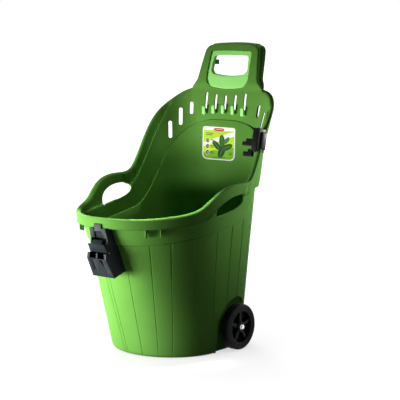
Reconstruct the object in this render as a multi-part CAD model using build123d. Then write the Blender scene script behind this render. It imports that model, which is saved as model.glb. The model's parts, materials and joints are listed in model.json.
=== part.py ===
# Two-wheeled garden tub cart: a one-piece tub with a tall back and handle, a grip
# insert, tool pegs, two wheels on a through axle, a front holder and a wing clip.
# Frame while modelling: X to the right, Y to the rear, Z up, floor at Z = 0,
# foot of the back wall at Y = 0. All pieces are moved at the end so that the origin
# lies under the middle of the bounding box.
from build123d import *
import math
import os

# Plan of the tub at the floor, and how much it grows per millimetre of height
base_half = 170.5
base_front = 390.6
side_flare = 0.0909
front_flare = 0.314
back_lean = 0.0327
waist_y = -229.0
flat_base = 9.0
flat_low = 61.0
flat_mid = 100.0
flat_top = 118.0
corner_bend = 56.0
side_pull = 0.86

# Heights
low_top = 569.0
mid_top = 650.0
hull_top = 740.0
back_sweep = 0.000592
base_round = 13.0
base_inset = 10.0

# Walls, ledges, rim
wall = 3.0
floor_thick = 4.0
ledge_low_step = 4.5
ledge_high_step = 4.0
lip_out = 15.2
lip_thick = 3.2
skirt_thick = 2.6
skirt_fall = 25.0

# Rim and ledge heights by bearing: degrees from the front, seen from the hub point
hub_y = -200.0
rim_line = ((0, 398), (24, 398), (37, 402), (46.8, 413), (58.5, 442), (66, 460), (78, 472),
            (88.5, 474), (97, 475), (102.5, 487), (110.4, 534), (119.5, 595), (128, 641),
            (137, 675), (146, 702), (152, 712), (165, 717), (180, 718))
ledge_low_line = ((0, 325), (19, 326.5), (30, 330), (45, 337), (63, 346), (86, 358), (102, 370),
                  (112, 388), (120, 426), (126.6, 470), (131, 506), (137, 543), (143, 572),
                  (150, 596), (159, 614), (180, 622))
ledge_high_line = ((0, 381), (30, 381), (48, 384), (64, 389), (87, 404), (96, 421), (103.5, 443),
                   (110.5, 471), (116, 505), (122, 551), (130, 612), (140, 685), (152, 745), (180, 765))

# Rim webs: bearings, thickness and reach below the rim
gusset_bearings = (22.0, 29.5, 97.5, 107.0)
gusset_thick = 3.0
gusset_fall = 54.0

# Wheels, axle and the moulded seats for them
wheel_radius = 64.0
wheel_wide = 28.0
wheel_out = 193.5
axle_y = -149.5
axle_wide = 10.0
axle_slack = 0.05
arch_radius = 83.0
well_in = 150.0
tunnel_half = 13.0
boss_long = 9.0

# Back plate, handle and its flange
plate_proud = 0.6
crease_half = 121.0
crease_foot = 597.0
crease_apex = 622.0
neck_half = 117.0
neck_z = 713.0
side_foot = 109.0
side_foot_z = 738.0
side_top = 94.0
side_top_z = 838.0
handle_top = 845.5
flange_thick = 3.0
flange_deep = 28.0
open_back_half = 96.0

# Grip insert and hand opening
insert_half = 73.0
insert_top = 821.0
insert_foot = 712.0
insert_seat = 3.5
opening_half = 61.0
opening_top = 807.0
opening_foot = 750.0

# Tool-peg slots in the back plate and slots in the wings (bearing, foot, head)
slot_pitch = 35.0
slot_foot = 648.0
slot_head = 690.0
slot_arch = 1.75
slot_wide = 8.5
wing_slots = ((134.2, 564.0, 614.0), (141.3, 602.0, 652.0), (148.6, 634.0, 670.0))
wing_slot_wide = 10.5

# Side hand hole, depth and height of its outline
grip_hole = ((-294, 398), (-286, 417), (-268, 430), (-239, 440), (-212, 444), (-193, 441), (-186, 430),
             (-196, 418), (-228, 405), (-262, 396), (-286, 393))

# Wheel, tyre and axle end pieces
tyre_seat = 50.0
tyre_round = 6.0
fit_gap = 0.1
rim_ring = 6.0
rim_inset = 2.5
hub_radius = 15.0
hub_in = 160.0
hub_break = 2.0
hub_out = 192.0
web_in = 171.0
web_thick = 4.0
spoke_count = 5
spoke_root = 11.0
spoke_tip = 8.0
spoke_out = 188.5
run_gap = 0.4
spacer_radius = 9.0
cap_radius = 6.3
cap_out = 199.0
cap_wall = 2.0
cap_dome = 2.6

# Grip insert walls
grip_front = 2.0
grip_rear = 17.0
grip_wall = 2.8
seat_gap = 0.2

# Peg comb behind and in front of the back plate
peg_wide = 7.9
peg_tall = 9.0
peg_out = 12.0
peg_tip_thick = 5.0
peg_tip_tall = 25.0
comb_tall = 16.0
comb_thick = 4.0

# Front holder: half widths, front face stations (depth, height), walls
holder_half_top = 27.5
holder_half_foot = 38.5
holder_top = 369.0
holder_slit = 342.5
holder_teeth = 303.0
holder_ledge = 289.0
holder_foot = 235.5
holder_foot_rear = 260.0
holder_front_top = -531.0
holder_front_slit = -523.0
holder_front_ledge = -534.0
holder_front_foot = -505.0
holder_wall = 3.5
cheek_front = -517.0
leg_foot = 322.0
tooth_wide = 8.0
tooth_mid = 6.0
channel_half = 13.5
channel_deep = 4.0
tongue_half = 12.5
tongue_top = 381.0
tongue_y = -529.5
tongue_thick = 3.5
hook_half = 20.0

# Hinged plate of the holder: pin, top tab, wings, bulge and foot of its front face
pin_y = -519.0
pin_z = 331.0
pin_wide = 4.0
barrel_radius = 4.2
tab_half = 17.0
tab_y = -527.0
flap_top = 337.5
flap_bulge_y = -536.0
flap_bulge_z = 326.0
flap_foot_y = -524.3
flap_foot_z = 304.5
flap_half_top = 28.0
flap_half_foot = 31.0
flap_thick = 4.5

# Wing clip: saddle over the right wing edge with two staggered fingers
clip_y = -94.0
clip_z = 583.0
clip_tilt = 32.0
clip_in = 187.0
clip_out = 223.5
clip_long = 66.0
clip_front = 9.0
clip_deep = 24.0
clip_gap = 0.5
wall_gap = 0.4
finger_long = 34.0
finger_thick = 10.0
finger_tall = 20.0
finger_step = 9.0
finger_gap = 12.0
finger_low_tall = 14.0
finger_low_long = 26.0
finger_z = -8.0


def side_half(z):
    return base_half + side_flare * z


def front_y(z):
    return -base_front - front_flare * z


def back_y(z):
    return back_lean * z + back_sweep * max(0.0, z - low_top) ** 2


def flat_half(z):
    if z <= low_top:
        return flat_base + (flat_low - flat_base) * z / low_top
    if z <= mid_top:
        return flat_low + (flat_mid - flat_low) * (z - low_top) / (mid_top - low_top)
    return flat_mid + (flat_top - flat_mid) * (z - mid_top) / (hull_top - mid_top)


def half_plan(z, off):
    # closed right half of the plan at one height, grown by off
    side, front, back, flat = side_half(z) + off, front_y(z) - off, back_y(z) + off, flat_half(z)
    nose = EllipticalCenterArc((0, waist_y), side, waist_y - front, start_angle=270, arc_size=90)
    corner = Bezier((side, waist_y), (side, waist_y + side_pull * (back - waist_y)),
                    (flat + corner_bend, back), (flat, back))
    rear = Line((flat, back), (0, back))
    seam = Line((0, back), (0, front))
    return Pos(0, 0, z) * make_face([nose, corner, rear, seam])


def hull(off, foot=0.0, rounded=True):
    # solid right half of the tub form, grown by off, starting at height foot
    if rounded:
        low = [half_plan(foot, off - base_inset), half_plan(foot + 0.3 * base_round, off - 0.4 * base_inset),
               half_plan(foot + base_round, off)]
    else:
        low = [half_plan(foot, off)]
    lower = loft(low + [half_plan(low_top, off)], ruled=True)
    upper = loft([half_plan(z, off) for z in (low_top, mid_top, hull_top)])
    return lower + upper


def spread(line, reach):
    # spline of one height table on a circle round the hub point, run past both ends
    table = [(-a, z) for a, z in line[1:2]] + list(line) + [(360 - a, z) for a, z in line[-2:-1]]
    points = [(reach * math.sin(math.radians(a)), hub_y - reach * math.cos(math.radians(a)), z) for a, z in table]
    return Edge.make_spline([Vector(*p) for p in points], parameters=[float(a) for a, z in table])


def sheet(line, shift=0.0):
    # ruled sheet that carries a height table out across the wall, moved down its own slope
    face = Face.make_surface_from_curves(spread(line, 70.0), spread(line, 560.0))
    return Pos(0, 0.6 * shift / 0.8, -shift) * face


def above(line, shift=0.0):
    return Solid.extrude(sheet(line, shift), Vector(0, 0, 900))


def below(line, shift=0.0):
    return Solid.extrude(sheet(line, shift), Vector(0, 0, -900))


def bearing_plane(bearing, z):
    # plane through the hub point that looks outward along a bearing, its X axis upright
    a = math.radians(bearing)
    return Plane(origin=(0, hub_y, z), x_dir=(0, 0, 1), z_dir=(math.sin(a), -math.cos(a), 0))


def stepped_form(inset, foot, shift):
    # tub form with its two outward steps, every zone pulled in by inset
    low = hull(-ledge_low_step - inset, foot)
    middle = hull(-inset, foot, False) - below(ledge_low_line, shift)
    high = hull(ledge_high_step - inset, foot, False) - below(ledge_high_line, shift)
    return low + middle + high


def rim_gussets():
    # upright webs that tie the rim skirt to the wall
    webs = []
    for bearing in gusset_bearings:
        web = bearing_plane(bearing, 0) * Pos(400, 0) * Rectangle(800, gusset_thick)
        webs.append(extrude(web, amount=500))
    room = hull(lip_out - 0.6 * skirt_thick, 200, False) - above(rim_line, 0.5 * lip_thick)
    room -= below(rim_line, gusset_fall)
    return [room & web for web in webs]


def arch_block(radius, inner, foot):
    # wheel arch: half disc on two straight legs, from an inner plane outward
    outline = Pos(axle_y, wheel_radius) * Circle(radius)
    outline += Pos(axle_y, 0.5 * (wheel_radius + foot)) * Rectangle(2 * radius, wheel_radius - foot)
    return extrude(Plane.YZ.offset(inner) * outline, amount=160)


def tunnel_block(half, end, foot):
    # channel for the axle across the floor: round top on straight walls
    outline = Pos(axle_y, wheel_radius) * Circle(half)
    outline += Pos(axle_y, 0.5 * (wheel_radius + foot)) * Rectangle(2 * half, wheel_radius - foot)
    return extrude(Plane.YZ * outline, amount=end)


def back_slab(front, rear, low, high, reach=160.0):
    # plate that follows the swept back wall between two offsets from its outer face
    heights = [low + (high - low) * i / 4 for i in range(5)]
    near = Spline(*[(back_y(z) + front, z) for z in heights])
    far = Spline(*[(back_y(z) + rear, z) for z in reversed(heights)])
    outline = make_face([near, Line(near @ 1, far @ 0), far, Line(far @ 1, near @ 0)])
    return extrude(Plane.YZ * outline, amount=reach, both=True)


def upright(outline):
    # front-view outline pushed through the whole depth of the back
    return extrude(Plane.XZ * outline, amount=700, both=True)


def soften(outline, picks):
    # round chosen corners, each given as corner point and radius, on both sides
    for x, z, radius in picks:
        near = [v for v in outline.vertices() if math.hypot(abs(v.X) - x, v.Y - z) < 1.0]
        outline = fillet(near, radius)
    return outline


def mirrored_outline(right, foot_mid, top_mid):
    # outline symmetric about the middle, with curved foot and top edges
    left = [(-x, z) for x, z in reversed(right)]
    foot = ThreePointArc(left[-1], (0, foot_mid), right[0])
    top = ThreePointArc(right[-1], (0, top_mid), left[0])
    return make_face([foot, Polyline(*right), top, Polyline(*left)])


def plate_outline():
    right = [(crease_half, crease_foot), (neck_half, neck_z), (side_foot, side_foot_z), (side_top, side_top_z)]
    outline = mirrored_outline(right, crease_apex, handle_top)
    return soften(outline, [(side_top, side_top_z, 22.0), (side_foot, side_foot_z, 26.0)])


def insert_outline():
    right = [(insert_half + 3.0, insert_foot + 9.0), (insert_half, insert_top)]
    outline = mirrored_outline(right, insert_foot, insert_top + 1.5)
    return soften(outline, [(insert_half + 3.0, insert_foot + 9.0, 24.0), (insert_half, insert_top, 9.0)])


def opening_outline():
    right = [(opening_half + 4.0, opening_foot + 7.0), (opening_half, opening_top)]
    outline = mirrored_outline(right, opening_foot, opening_top + 1.0)
    return soften(outline, [(opening_half + 4.0, opening_foot + 7.0, 13.0), (opening_half, opening_top, 8.0)])


def peg_places():
    # across, foot and head of each slot in the back plate
    for i in range(-2, 3):
        yield i * slot_pitch, slot_foot, slot_head + slot_arch * i * i


def slot_cutters():
    cutters = []
    for x, foot, head in peg_places():
        cutters.append(upright(Pos(x, 0.5 * (foot + head)) * Rot(0, 0, 90) * SlotOverall(head - foot, slot_wide)))
    return cutters


def wing_slot_cutters():
    cutters = []
    for bearing, foot, head in wing_slots:
        slot = bearing_plane(bearing, 0.5 * (foot + head)) * SlotOverall(head - foot, wing_slot_wide)
        cutters.append(extrude(slot, amount=330))
    return cutters


def grip_hole_cutter():
    # oval hand hole through the side wall, its lower edge along the upper ledge
    outline = make_face(Spline(*[(y, z) for y, z in grip_hole], periodic=True))
    return extrude(Plane.YZ.offset(120) * outline, amount=160)


def half_tub():
    form = hull(lip_out) - above(rim_line)
    under_lip = hull(lip_out - skirt_thick, -1, False) - above(rim_line, lip_thick)
    under_skirt = hull(lip_out + 4, -1, False) - above(rim_line, skirt_fall)
    form -= (under_lip + under_skirt) - stepped_form(0, 0, wall)
    form += rim_gussets()
    low_form = hull(-ledge_low_step - 0.4 * wall)
    form += low_form & arch_block(arch_radius + wall, well_in - wall, 1.5)
    form -= stepped_form(wall, floor_thick, 0) - arch_block(arch_radius + wall, well_in - wall, -10)
    form -= arch_block(arch_radius, well_in, -10)
    form += tunnel_block(tunnel_half + wall, well_in - 0.5 * wall, 1.5)
    form -= tunnel_block(tunnel_half, well_in - wall - boss_long, -10)
    form -= extrude(Plane.YZ.offset(well_in - 60) * Pos(axle_y, wheel_radius)
                    * Circle(0.5 * axle_wide + axle_slack), amount=80)
    form -= grip_hole_cutter()
    rear = back_slab(0.5 * plate_proud, 90, 630, 760) & Pos(0, 0, 700) * Box(2 * open_back_half, 400, 200)
    form -= rear
    return form


def tub_shell():
    half = half_tub()
    plate = back_slab(-wall - plate_proud, plate_proud, crease_foot - 20, handle_top + 20) & upright(plate_outline())
    ring_face = plate_outline() - offset(plate_outline(), -flange_thick)
    ring = back_slab(-0.5 * wall, flange_deep, neck_z - 4, handle_top + 20) & upright(ring_face)
    shell = half + mirror(half, Plane.YZ) + plate + ring
    shell -= upright(offset(insert_outline(), -insert_seat))
    shell -= slot_cutters()
    cuts = wing_slot_cutters()
    shell -= cuts + [mirror(c, Plane.YZ) for c in cuts]
    return shell


def spun(points):
    # turned piece about the axle line from its half section (along the axle, radius)
    return Pos(0, axle_y, wheel_radius) * revolve(make_face(Polyline(*points, close=True)), Axis.X)


def tyre():
    # ring with shoulders broken in two steps on each side
    low, high, top = wheel_out - wheel_wide, wheel_out, wheel_radius
    part_step = 0.3 * tyre_round
    return spun([(low, tyre_seat), (low, top - tyre_round), (low + part_step, top - part_step), (low + tyre_round, top),
                 (high - tyre_round, top), (high - part_step, top - part_step), (high, top - tyre_round),
                 (high, tyre_seat)])


def wheel():
    bore = 0.5 * axle_wide + axle_slack
    low, high = wheel_out - wheel_wide + rim_inset, wheel_out - rim_inset
    outer = tyre_seat - fit_gap
    section = [(hub_in, bore), (hub_in, hub_radius), (web_in, hub_radius), (web_in, outer - rim_ring),
               (low, outer - rim_ring), (low, outer), (high, outer), (high, outer - rim_ring),
               (web_in + web_thick, outer - rim_ring), (web_in + web_thick, hub_radius),
               (hub_out - hub_break, hub_radius), (hub_out, hub_radius - hub_break), (hub_out, bore)]
    body = spun(section)
    span = outer - 0.5 * rim_ring
    blade = Polyline((10, -0.5 * spoke_root), (span, -0.5 * spoke_tip), (span, 0.5 * spoke_tip),
                     (10, 0.5 * spoke_root), close=True)
    start = web_in + 0.5 * web_thick
    blade = extrude(Plane.YZ.offset(start) * make_face(blade), amount=spoke_out - start)
    for i in range(spoke_count):
        body += Pos(0, axle_y, wheel_radius) * Rot(90 + i * 360 / spoke_count, 0, 0) * blade
    return body


def spacer():
    bore = 0.5 * axle_wide + axle_slack
    low, high = well_in + seat_gap, hub_in - run_gap
    return spun([(low, bore), (low, spacer_radius), (high, spacer_radius), (high, bore)])


def axle_cap():
    # domed push-on cap over the end of the axle
    bore = 0.5 * axle_wide + axle_slack
    low = hub_out + run_gap
    inner = cap_out - cap_wall
    edge = cap_out - cap_dome
    return spun([(cap_out, 0), (inner, 0), (inner, bore), (low, bore), (low, cap_radius), (edge, cap_radius),
                 (cap_out - 0.3 * cap_dome, 0.62 * cap_radius)])


def axle():
    end = cap_out - cap_wall - seat_gap
    rod = Pos(0, axle_y, wheel_radius) * Rot(0, 90, 0) * Cylinder(0.5 * axle_wide, 2 * end)
    return chamfer(rod.edges().filter_by(GeomType.CIRCLE), 0.8)


def handle_grip():
    face = -wall - plate_proud - 0.05
    body = back_slab(face, grip_rear, insert_foot - 20, insert_top + 20)
    body &= upright(offset(insert_outline(), -insert_seat - seat_gap))
    body += back_slab(face - grip_front, face, insert_foot - 20, insert_top + 20) & upright(insert_outline())
    pocket = offset(insert_outline(), -insert_seat - seat_gap - grip_wall) - offset(opening_outline(), grip_wall)
    body -= back_slab(0, grip_rear + 10, insert_foot - 20, insert_top + 20) & upright(pocket)
    return body - upright(opening_outline())


def peg_comb():
    # one bar behind the back plate with a hooked peg through the foot of every slot
    low, rear = slot_foot + seat_gap, plate_proud + seat_gap
    front = -wall - plate_proud - peg_out
    span = 4 * slot_pitch + 2.2 * peg_wide
    bar = Pos(0, low + 0.5 * peg_tall - 0.5 * (comb_tall - peg_tall)) * RectangleRounded(span, comb_tall, 3)
    comb = back_slab(rear, rear + comb_thick, slot_foot - 40, slot_head + 20) & upright(bar)
    for x, foot, head in peg_places():
        stem = Pos(x, low + 0.5 * slot_wide) * Circle(0.5 * peg_wide)
        stem += Pos(x, low + 0.5 * (slot_wide + peg_tall)) * Rectangle(peg_wide, peg_tall)
        comb += back_slab(front, rear + 0.5 * comb_thick, slot_foot - 40, slot_head + 20) & upright(stem)
        tip = Pos(x, low + 0.5 * peg_tall + 1.0) * Rot(0, 0, 90) * SlotOverall(peg_tip_tall, peg_wide + 0.4)
        comb += back_slab(front - peg_tip_thick, front + 0.5, slot_foot - 40, slot_head + 20) & upright(tip)
    return comb


def holder_side(points, half):
    return extrude(Plane.YZ * make_face(Polyline(*points, close=True)), amount=half)


def holder_front(inset):
    # tapered front-view outline of the right half of the holder
    points = [(0, holder_foot - 30), (holder_half_foot - inset, holder_foot - 30),
              (holder_half_foot - inset, holder_foot), (holder_half_top - inset, holder_top),
              (holder_half_top - inset, tongue_top + 10), (0, tongue_top + 10)]
    return upright(make_face(Polyline(*points, close=True)))


def holder_half():
    rear = -400.0
    outside = [(rear, holder_top), (holder_front_top, holder_top), (holder_front_slit, holder_slit),
               (holder_front_slit, leg_foot + 6), (cheek_front, leg_foot), (cheek_front, holder_teeth),
               (holder_front_ledge + 1.5, holder_teeth), (holder_front_ledge, holder_ledge),
               (holder_front_foot, holder_foot), (rear, holder_foot_rear + 8)]
    body = holder_side(outside, 60) & holder_front(0)
    gap = [(rear, holder_slit), (-600, holder_slit), (-600, holder_ledge), (rear, holder_ledge)]
    gap = holder_side(gap, 60) & holder_front(holder_wall)
    body -= gap - stepped_form(-holder_wall - wall_gap, 150, 0)
    hollow = [(rear, holder_ledge + 1), (holder_front_ledge + holder_wall, holder_ledge + 1),
              (holder_front_foot + holder_wall, holder_foot + 2 * holder_wall), (rear, holder_foot_rear + 10)]
    body -= holder_side(hollow, 60) & holder_front(holder_wall)
    tooth = [(holder_front_ledge + 1.5, holder_teeth), (holder_front_ledge + holder_wall, holder_teeth),
             (holder_front_ledge + holder_wall + 2, holder_ledge - 3), (holder_front_ledge + 1, holder_ledge - 3)]
    body += holder_side(tooth, 60) & holder_front(0) - holder_front(tooth_wide)
    body += holder_side(tooth, 0.5 * tooth_mid)
    channel = [(-560, tongue_top + 5), (holder_front_top + channel_deep, tongue_top + 5),
               (holder_front_top + channel_deep, holder_top), (holder_front_slit + channel_deep, holder_slit - 1),
               (-560, holder_slit - 1)]
    body -= holder_side(channel, channel_half)
    tongue = [(tongue_y, tongue_top), (tongue_y + tongue_thick, tongue_top), (tongue_y + tongue_thick, holder_top),
              (tongue_y + 6, holder_top - 4), (tongue_y + 6, holder_top - 12), (tongue_y + 1, holder_top - 8)]
    body += holder_side(tongue, tongue_half)
    hook_y = front_y(holder_top) - lip_out + skirt_thick + 1.0
    hook = [(hook_y, holder_top - 3), (hook_y, tongue_top), (hook_y + 3, tongue_top), (hook_y + 6, holder_top - 3)]
    body += holder_side(hook, hook_half)
    return body - stepped_form(-wall_gap, 150, wall)


def pin_line(radius, half):
    return Pos(0, pin_y, pin_z) * Rot(0, 90, 0) * Cylinder(radius, 2 * half)


def holder_body():
    half = holder_half()
    return half + mirror(half, Plane.YZ) - pin_line(0.5 * pin_wide, pin_half())


def pin_half():
    # the pin ends in the middle of both side walls
    share = (holder_top - pin_z) / (holder_top - holder_foot)
    return holder_half_top + share * (holder_half_foot - holder_half_top) - 0.5 * holder_wall


def holder_pin():
    return pin_line(0.5 * pin_wide, pin_half())


def holder_flap():
    # plate hung from the pin: narrow tab with a barrel above, bulged plate with wings below
    bulge, foot = (flap_bulge_y, flap_bulge_z), (flap_foot_y, flap_foot_z)
    tab = [(tab_y, flap_top), (tab_y + flap_thick, flap_top), (pin_y + 3, pin_z + 3), (pin_y + 3, pin_z - 3),
           (flap_bulge_y + 2 * flap_thick, flap_bulge_z - 5), bulge]
    plate = [bulge, foot, (flap_foot_y + flap_thick, flap_foot_z + 2), (flap_bulge_y + flap_thick + 1, flap_bulge_z),
             (flap_bulge_y + 1, flap_bulge_z + 2)]
    front = [(0, flap_foot_z - 1), (flap_half_foot, flap_foot_z - 1), (flap_half_top, flap_bulge_z + 2),
             (0, flap_bulge_z + 2)]
    half = holder_side(tab, tab_half) + (holder_side(plate, 60) & upright(make_face(Polyline(*front, close=True))))
    flap = half + mirror(half, Plane.YZ) + pin_line(barrel_radius, tab_half)
    return flap - pin_line(0.5 * pin_wide + axle_slack, 60)


def wing_clip():
    # saddle over the wing edge: block less the room taken by wall, lip and skirt
    frame = Pos(0, clip_y, clip_z) * Rot(-clip_tilt, 0, 0)
    deep = clip_front + clip_deep
    block = Pos(0.5 * (clip_in + clip_out), 0.5 * (clip_deep - clip_front), 0) * Box(clip_out - clip_in, deep, clip_long)
    block = fillet(block.edges().filter_by(Axis.Y), 5)
    mid_y = 0.5 * finger_thick - clip_front
    upper = Pos(clip_in - 0.5 * finger_long + 4, mid_y, finger_z) * Box(finger_long + 8, finger_thick, finger_tall)
    low_z = finger_z - 0.5 * (finger_tall + finger_low_tall) - finger_gap
    lower = Pos(clip_in - 0.5 * finger_low_long + 4, mid_y, low_z) * Box(finger_low_long + 8, finger_thick, finger_low_tall)
    step = Pos(clip_in - finger_long, mid_y, finger_z + 0.5 * finger_tall) * Box(
        2 * finger_step, finger_thick + 2, finger_tall)
    clip = frame * (block + upper + lower - step)
    taken = hull(lip_out + clip_gap, 300, False) - above(rim_line, -clip_gap)
    taken -= stepped_form(wall + clip_gap, 300, 0)
    return clip - taken


def whole_cart():
    left = Plane.YZ
    right_side = {"wheel": wheel(), "tyre": tyre(), "spacer": spacer(), "axle_cap": axle_cap()}
    nodes = {"tub_shell": tub_shell(), "handle_grip": handle_grip(), "peg_comb": peg_comb(), "axle": axle(),
             "holder_body": holder_body(), "holder_flap": holder_flap(), "holder_pin": holder_pin(),
             "wing_clip": wing_clip()}
    for name, piece in right_side.items():
        nodes[name + "_right"] = piece
        nodes[name + "_left"] = mirror(piece, left)
    return nodes


os.makedirs("parts", exist_ok=True)
cart = whole_cart()
box = Compound([s for piece in cart.values() for s in piece.solids()]).bounding_box()
to_origin = Pos(-box.center().X, -box.center().Y, -box.min.Z)
for name, piece in cart.items():
    solids = (to_origin * piece).solids()
    export_step(solids[0] if len(solids) == 1 else Compound(solids), os.path.join("parts", name + ".step"))
print("moved by", to_origin.position)
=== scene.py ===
import json
import math
import bpy
import bmesh
import numpy as np
from mathutils import Matrix, Vector


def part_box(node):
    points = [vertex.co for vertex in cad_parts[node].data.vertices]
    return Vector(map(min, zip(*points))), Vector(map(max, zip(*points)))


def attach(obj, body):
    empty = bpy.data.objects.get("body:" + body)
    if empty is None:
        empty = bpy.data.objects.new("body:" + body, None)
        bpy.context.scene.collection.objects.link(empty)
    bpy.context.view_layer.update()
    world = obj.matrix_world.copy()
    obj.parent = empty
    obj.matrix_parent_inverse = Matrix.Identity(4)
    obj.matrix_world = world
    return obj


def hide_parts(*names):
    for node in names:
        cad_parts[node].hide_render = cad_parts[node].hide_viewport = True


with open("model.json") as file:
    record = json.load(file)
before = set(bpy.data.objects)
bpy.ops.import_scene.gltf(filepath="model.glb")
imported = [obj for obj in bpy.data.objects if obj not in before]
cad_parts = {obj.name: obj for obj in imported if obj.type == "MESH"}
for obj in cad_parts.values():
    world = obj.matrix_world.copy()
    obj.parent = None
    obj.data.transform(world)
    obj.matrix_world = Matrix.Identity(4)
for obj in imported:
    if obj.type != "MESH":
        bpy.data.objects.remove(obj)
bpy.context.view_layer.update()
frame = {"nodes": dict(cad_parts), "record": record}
scene = bpy.context.scene
print("stage: frame loaded")

# lengths below are in millimetres, y = 0 at the foot of the back wall; the axle fixes the shift
axleY, axleZ, boreRadius = -149.5, 64.0, 5.05
axleLow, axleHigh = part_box("axle")
yShift = 0.5 * (axleLow.y + axleHigh.y) - 0.001 * axleY
toFrame = Matrix.Translation((0.0, yShift, 0.0)) @ Matrix.Scale(0.001, 4)
asMade = Matrix.Identity(4)
bothSides = (1.0, -1.0)


def pieceFrom(bm, name, finish, body="cart", sharp=38.0, place=toFrame):
    # the mesh becomes an object that rides on a body
    bmesh.ops.transform(bm, matrix=place, verts=bm.verts)
    mesh = bpy.data.meshes.new(name)
    bm.to_mesh(mesh)
    bm.free()
    piece = bpy.data.objects.new(name, mesh)
    scene.collection.objects.link(piece)
    if finish:
        mesh.materials.append(finish)
    smoothShade(piece, sharp)
    if body:
        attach(piece, body)
    return piece


def toolFrom(bm, name):
    # solid that cuts or joins another and is then gone
    return pieceFrom(bm, name, None, None)


def smoothShade(piece, sharp):
    mesh = piece.data
    mesh.polygons.foreach_set("use_smooth", [True] * len(mesh.polygons))
    mesh.set_sharp_from_angle(angle=math.radians(sharp))


def cutPiece(piece, tool, operation="DIFFERENCE", folded=False):
    # exact boolean, applied at once; folded is for a piece that crosses itself
    cut = piece.modifiers.new("cut", "BOOLEAN")
    cut.operation, cut.solver, cut.object, cut.use_self = operation, "EXACT", tool, folded
    bpy.context.view_layer.update()
    done = piece.evaluated_get(bpy.context.evaluated_depsgraph_get())
    mesh = bpy.data.meshes.new_from_object(done)
    old, mesh.name = piece.data, piece.data.name
    piece.modifiers.clear()
    piece.data = mesh
    bpy.data.meshes.remove(old)
    bpy.data.objects.remove(tool)


def wrapGrid(bm, columns, rows, placeAt, closed=True, ring=False):
    # grid of columns x rows whose points are put where placeAt(column, row) says
    made = bmesh.ops.create_grid(bm, x_segments=columns, y_segments=rows, size=1.0)["verts"]
    for v in made:
        i = round((v.co.x + 1.0) * 0.5 * columns)
        j = round((v.co.y + 1.0) * 0.5 * rows)
        v.co = placeAt(i % columns if closed else i, j % rows if ring else j)
    if closed:
        bmesh.ops.remove_doubles(bm, verts=made, dist=1e-5)


def closeEnds(bm):
    # flat faces over the open loops that are left
    edges = [e for e in bm.edges if e.is_boundary]
    caps = bmesh.ops.holes_fill(bm, edges=edges, sides=0)["faces"]
    bmesh.ops.triangulate(bm, faces=caps, quad_method="BEAUTY", ngon_method="BEAUTY")
    bmesh.ops.recalc_face_normals(bm, faces=bm.faces)


def prism(bm, outline, near, far, axis="y"):
    # flat outline pushed from near to far along one axis
    along = "xyz".index(axis)
    verts = []
    for spot in outline:
        spot = list(spot)
        spot.insert(along, near)
        verts.append(bm.verts.new(spot))
    grown = bmesh.ops.extrude_face_region(bm, geom=[bm.faces.new(verts)])["geom"]
    moved = [g for g in grown if isinstance(g, bmesh.types.BMVert)]
    for v in moved:
        v.co[along] = far
    bmesh.ops.recalc_face_normals(bm, faces=bm.faces)
    return verts + moved


def softBox(bm, size, centre, bevel, segments=3, turn=None):
    # box with rounded edges
    made = bmesh.ops.create_cube(bm, size=1.0)["verts"]
    bmesh.ops.scale(bm, vec=size, verts=made)
    edges = list({e for v in made for e in v.link_edges})
    done = bmesh.ops.bevel(bm, geom=edges, offset=bevel, offset_type="OFFSET", segments=segments,
                           profile=0.5, affect="EDGES", material=-1, clamp_overlap=True)
    made = list({v for f in done["faces"] for v in f.verts} | {v for v in made if v.is_valid})
    if turn:
        bmesh.ops.rotate(bm, cent=(0, 0, 0), matrix=turn, verts=made)
    bmesh.ops.translate(bm, vec=centre, verts=made)
    return made


def quarter(steps, start=0):
    # step number, sine and cosine over a quarter turn
    for k in range(start, steps + 1):
        a = 0.5 * math.pi * k / steps
        yield k, math.sin(a), math.cos(a)


def even(steps):
    # even shares of the way, the end included
    return [k / steps for k in range(1, steps + 1)]


def mirrored(right):
    # left half of an outline, from its top down
    return [(-x, z) for x, z in reversed(right)]


def roundCorners(points, radii, steps=6):
    # closed outline with a circular arc at every corner that has a radius
    outline, count, most = [], len(points), 0.49          # an arc takes less than half of a side
    for k in range(count):
        here = Vector(points[k])
        before, after = Vector(points[k - 1]) - here, Vector(points[(k + 1) % count]) - here
        if radii[k] <= 0:
            outline.append(tuple(here))
            continue
        half = 0.5 * before.angle(after)
        reach = min(radii[k] / math.tan(half), most * before.length, most * after.length)
        before.normalize()
        after.normalize()
        middle = here + (before + after).normalized() * reach / math.cos(half)
        va, vb = here + before * reach - middle, here + after * reach - middle
        turn = va.angle_signed(vb)
        for s in range(steps + 1):
            w = -turn * s / steps
            outline.append((middle.x + va.x * math.cos(w) - va.y * math.sin(w),
                            middle.y + va.x * math.sin(w) + va.y * math.cos(w)))
    return outline


def arcThrough(a, top, b, steps):
    # shallow arc from a to b whose middle is at height top, ends included
    spread = []
    for s in range(steps + 1):
        w = 2.0 * s / steps - 1.0
        rise = (top - 0.5 * (a[1] + b[1])) * (1.0 - w * w)
        spread.append((a[0] + (b[0] - a[0]) * s / steps, a[1] + (b[1] - a[1]) * s / steps + rise))
    return spread


def closedCurve(points, steps):
    # smooth closed line through points
    made, n = [], len(points)
    for k in range(n):
        a, b, c, d = (np.array(points[(k + s) % n], float) for s in (-1, 0, 1, 2))
        for s in range(steps):
            t = s / steps
            made.append(tuple(0.5 * (2 * b + (c - a) * t + (2 * a - 5 * b + 4 * c - d) * t * t
                                     + (3 * b - a - 3 * c + d) * t ** 3)))
    return made


def evenOutline(points, count):
    # the same closed outline with points at even steps
    loop = np.array(list(points) + [points[0]], float)
    run = np.concatenate(([0.0], np.cumsum(np.hypot(*np.diff(loop, axis=0).T))))
    at = np.linspace(0.0, run[-1], count, endpoint=False)
    return np.column_stack((np.interp(at, run, loop[:, 0]), np.interp(at, run, loop[:, 1])))


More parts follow.
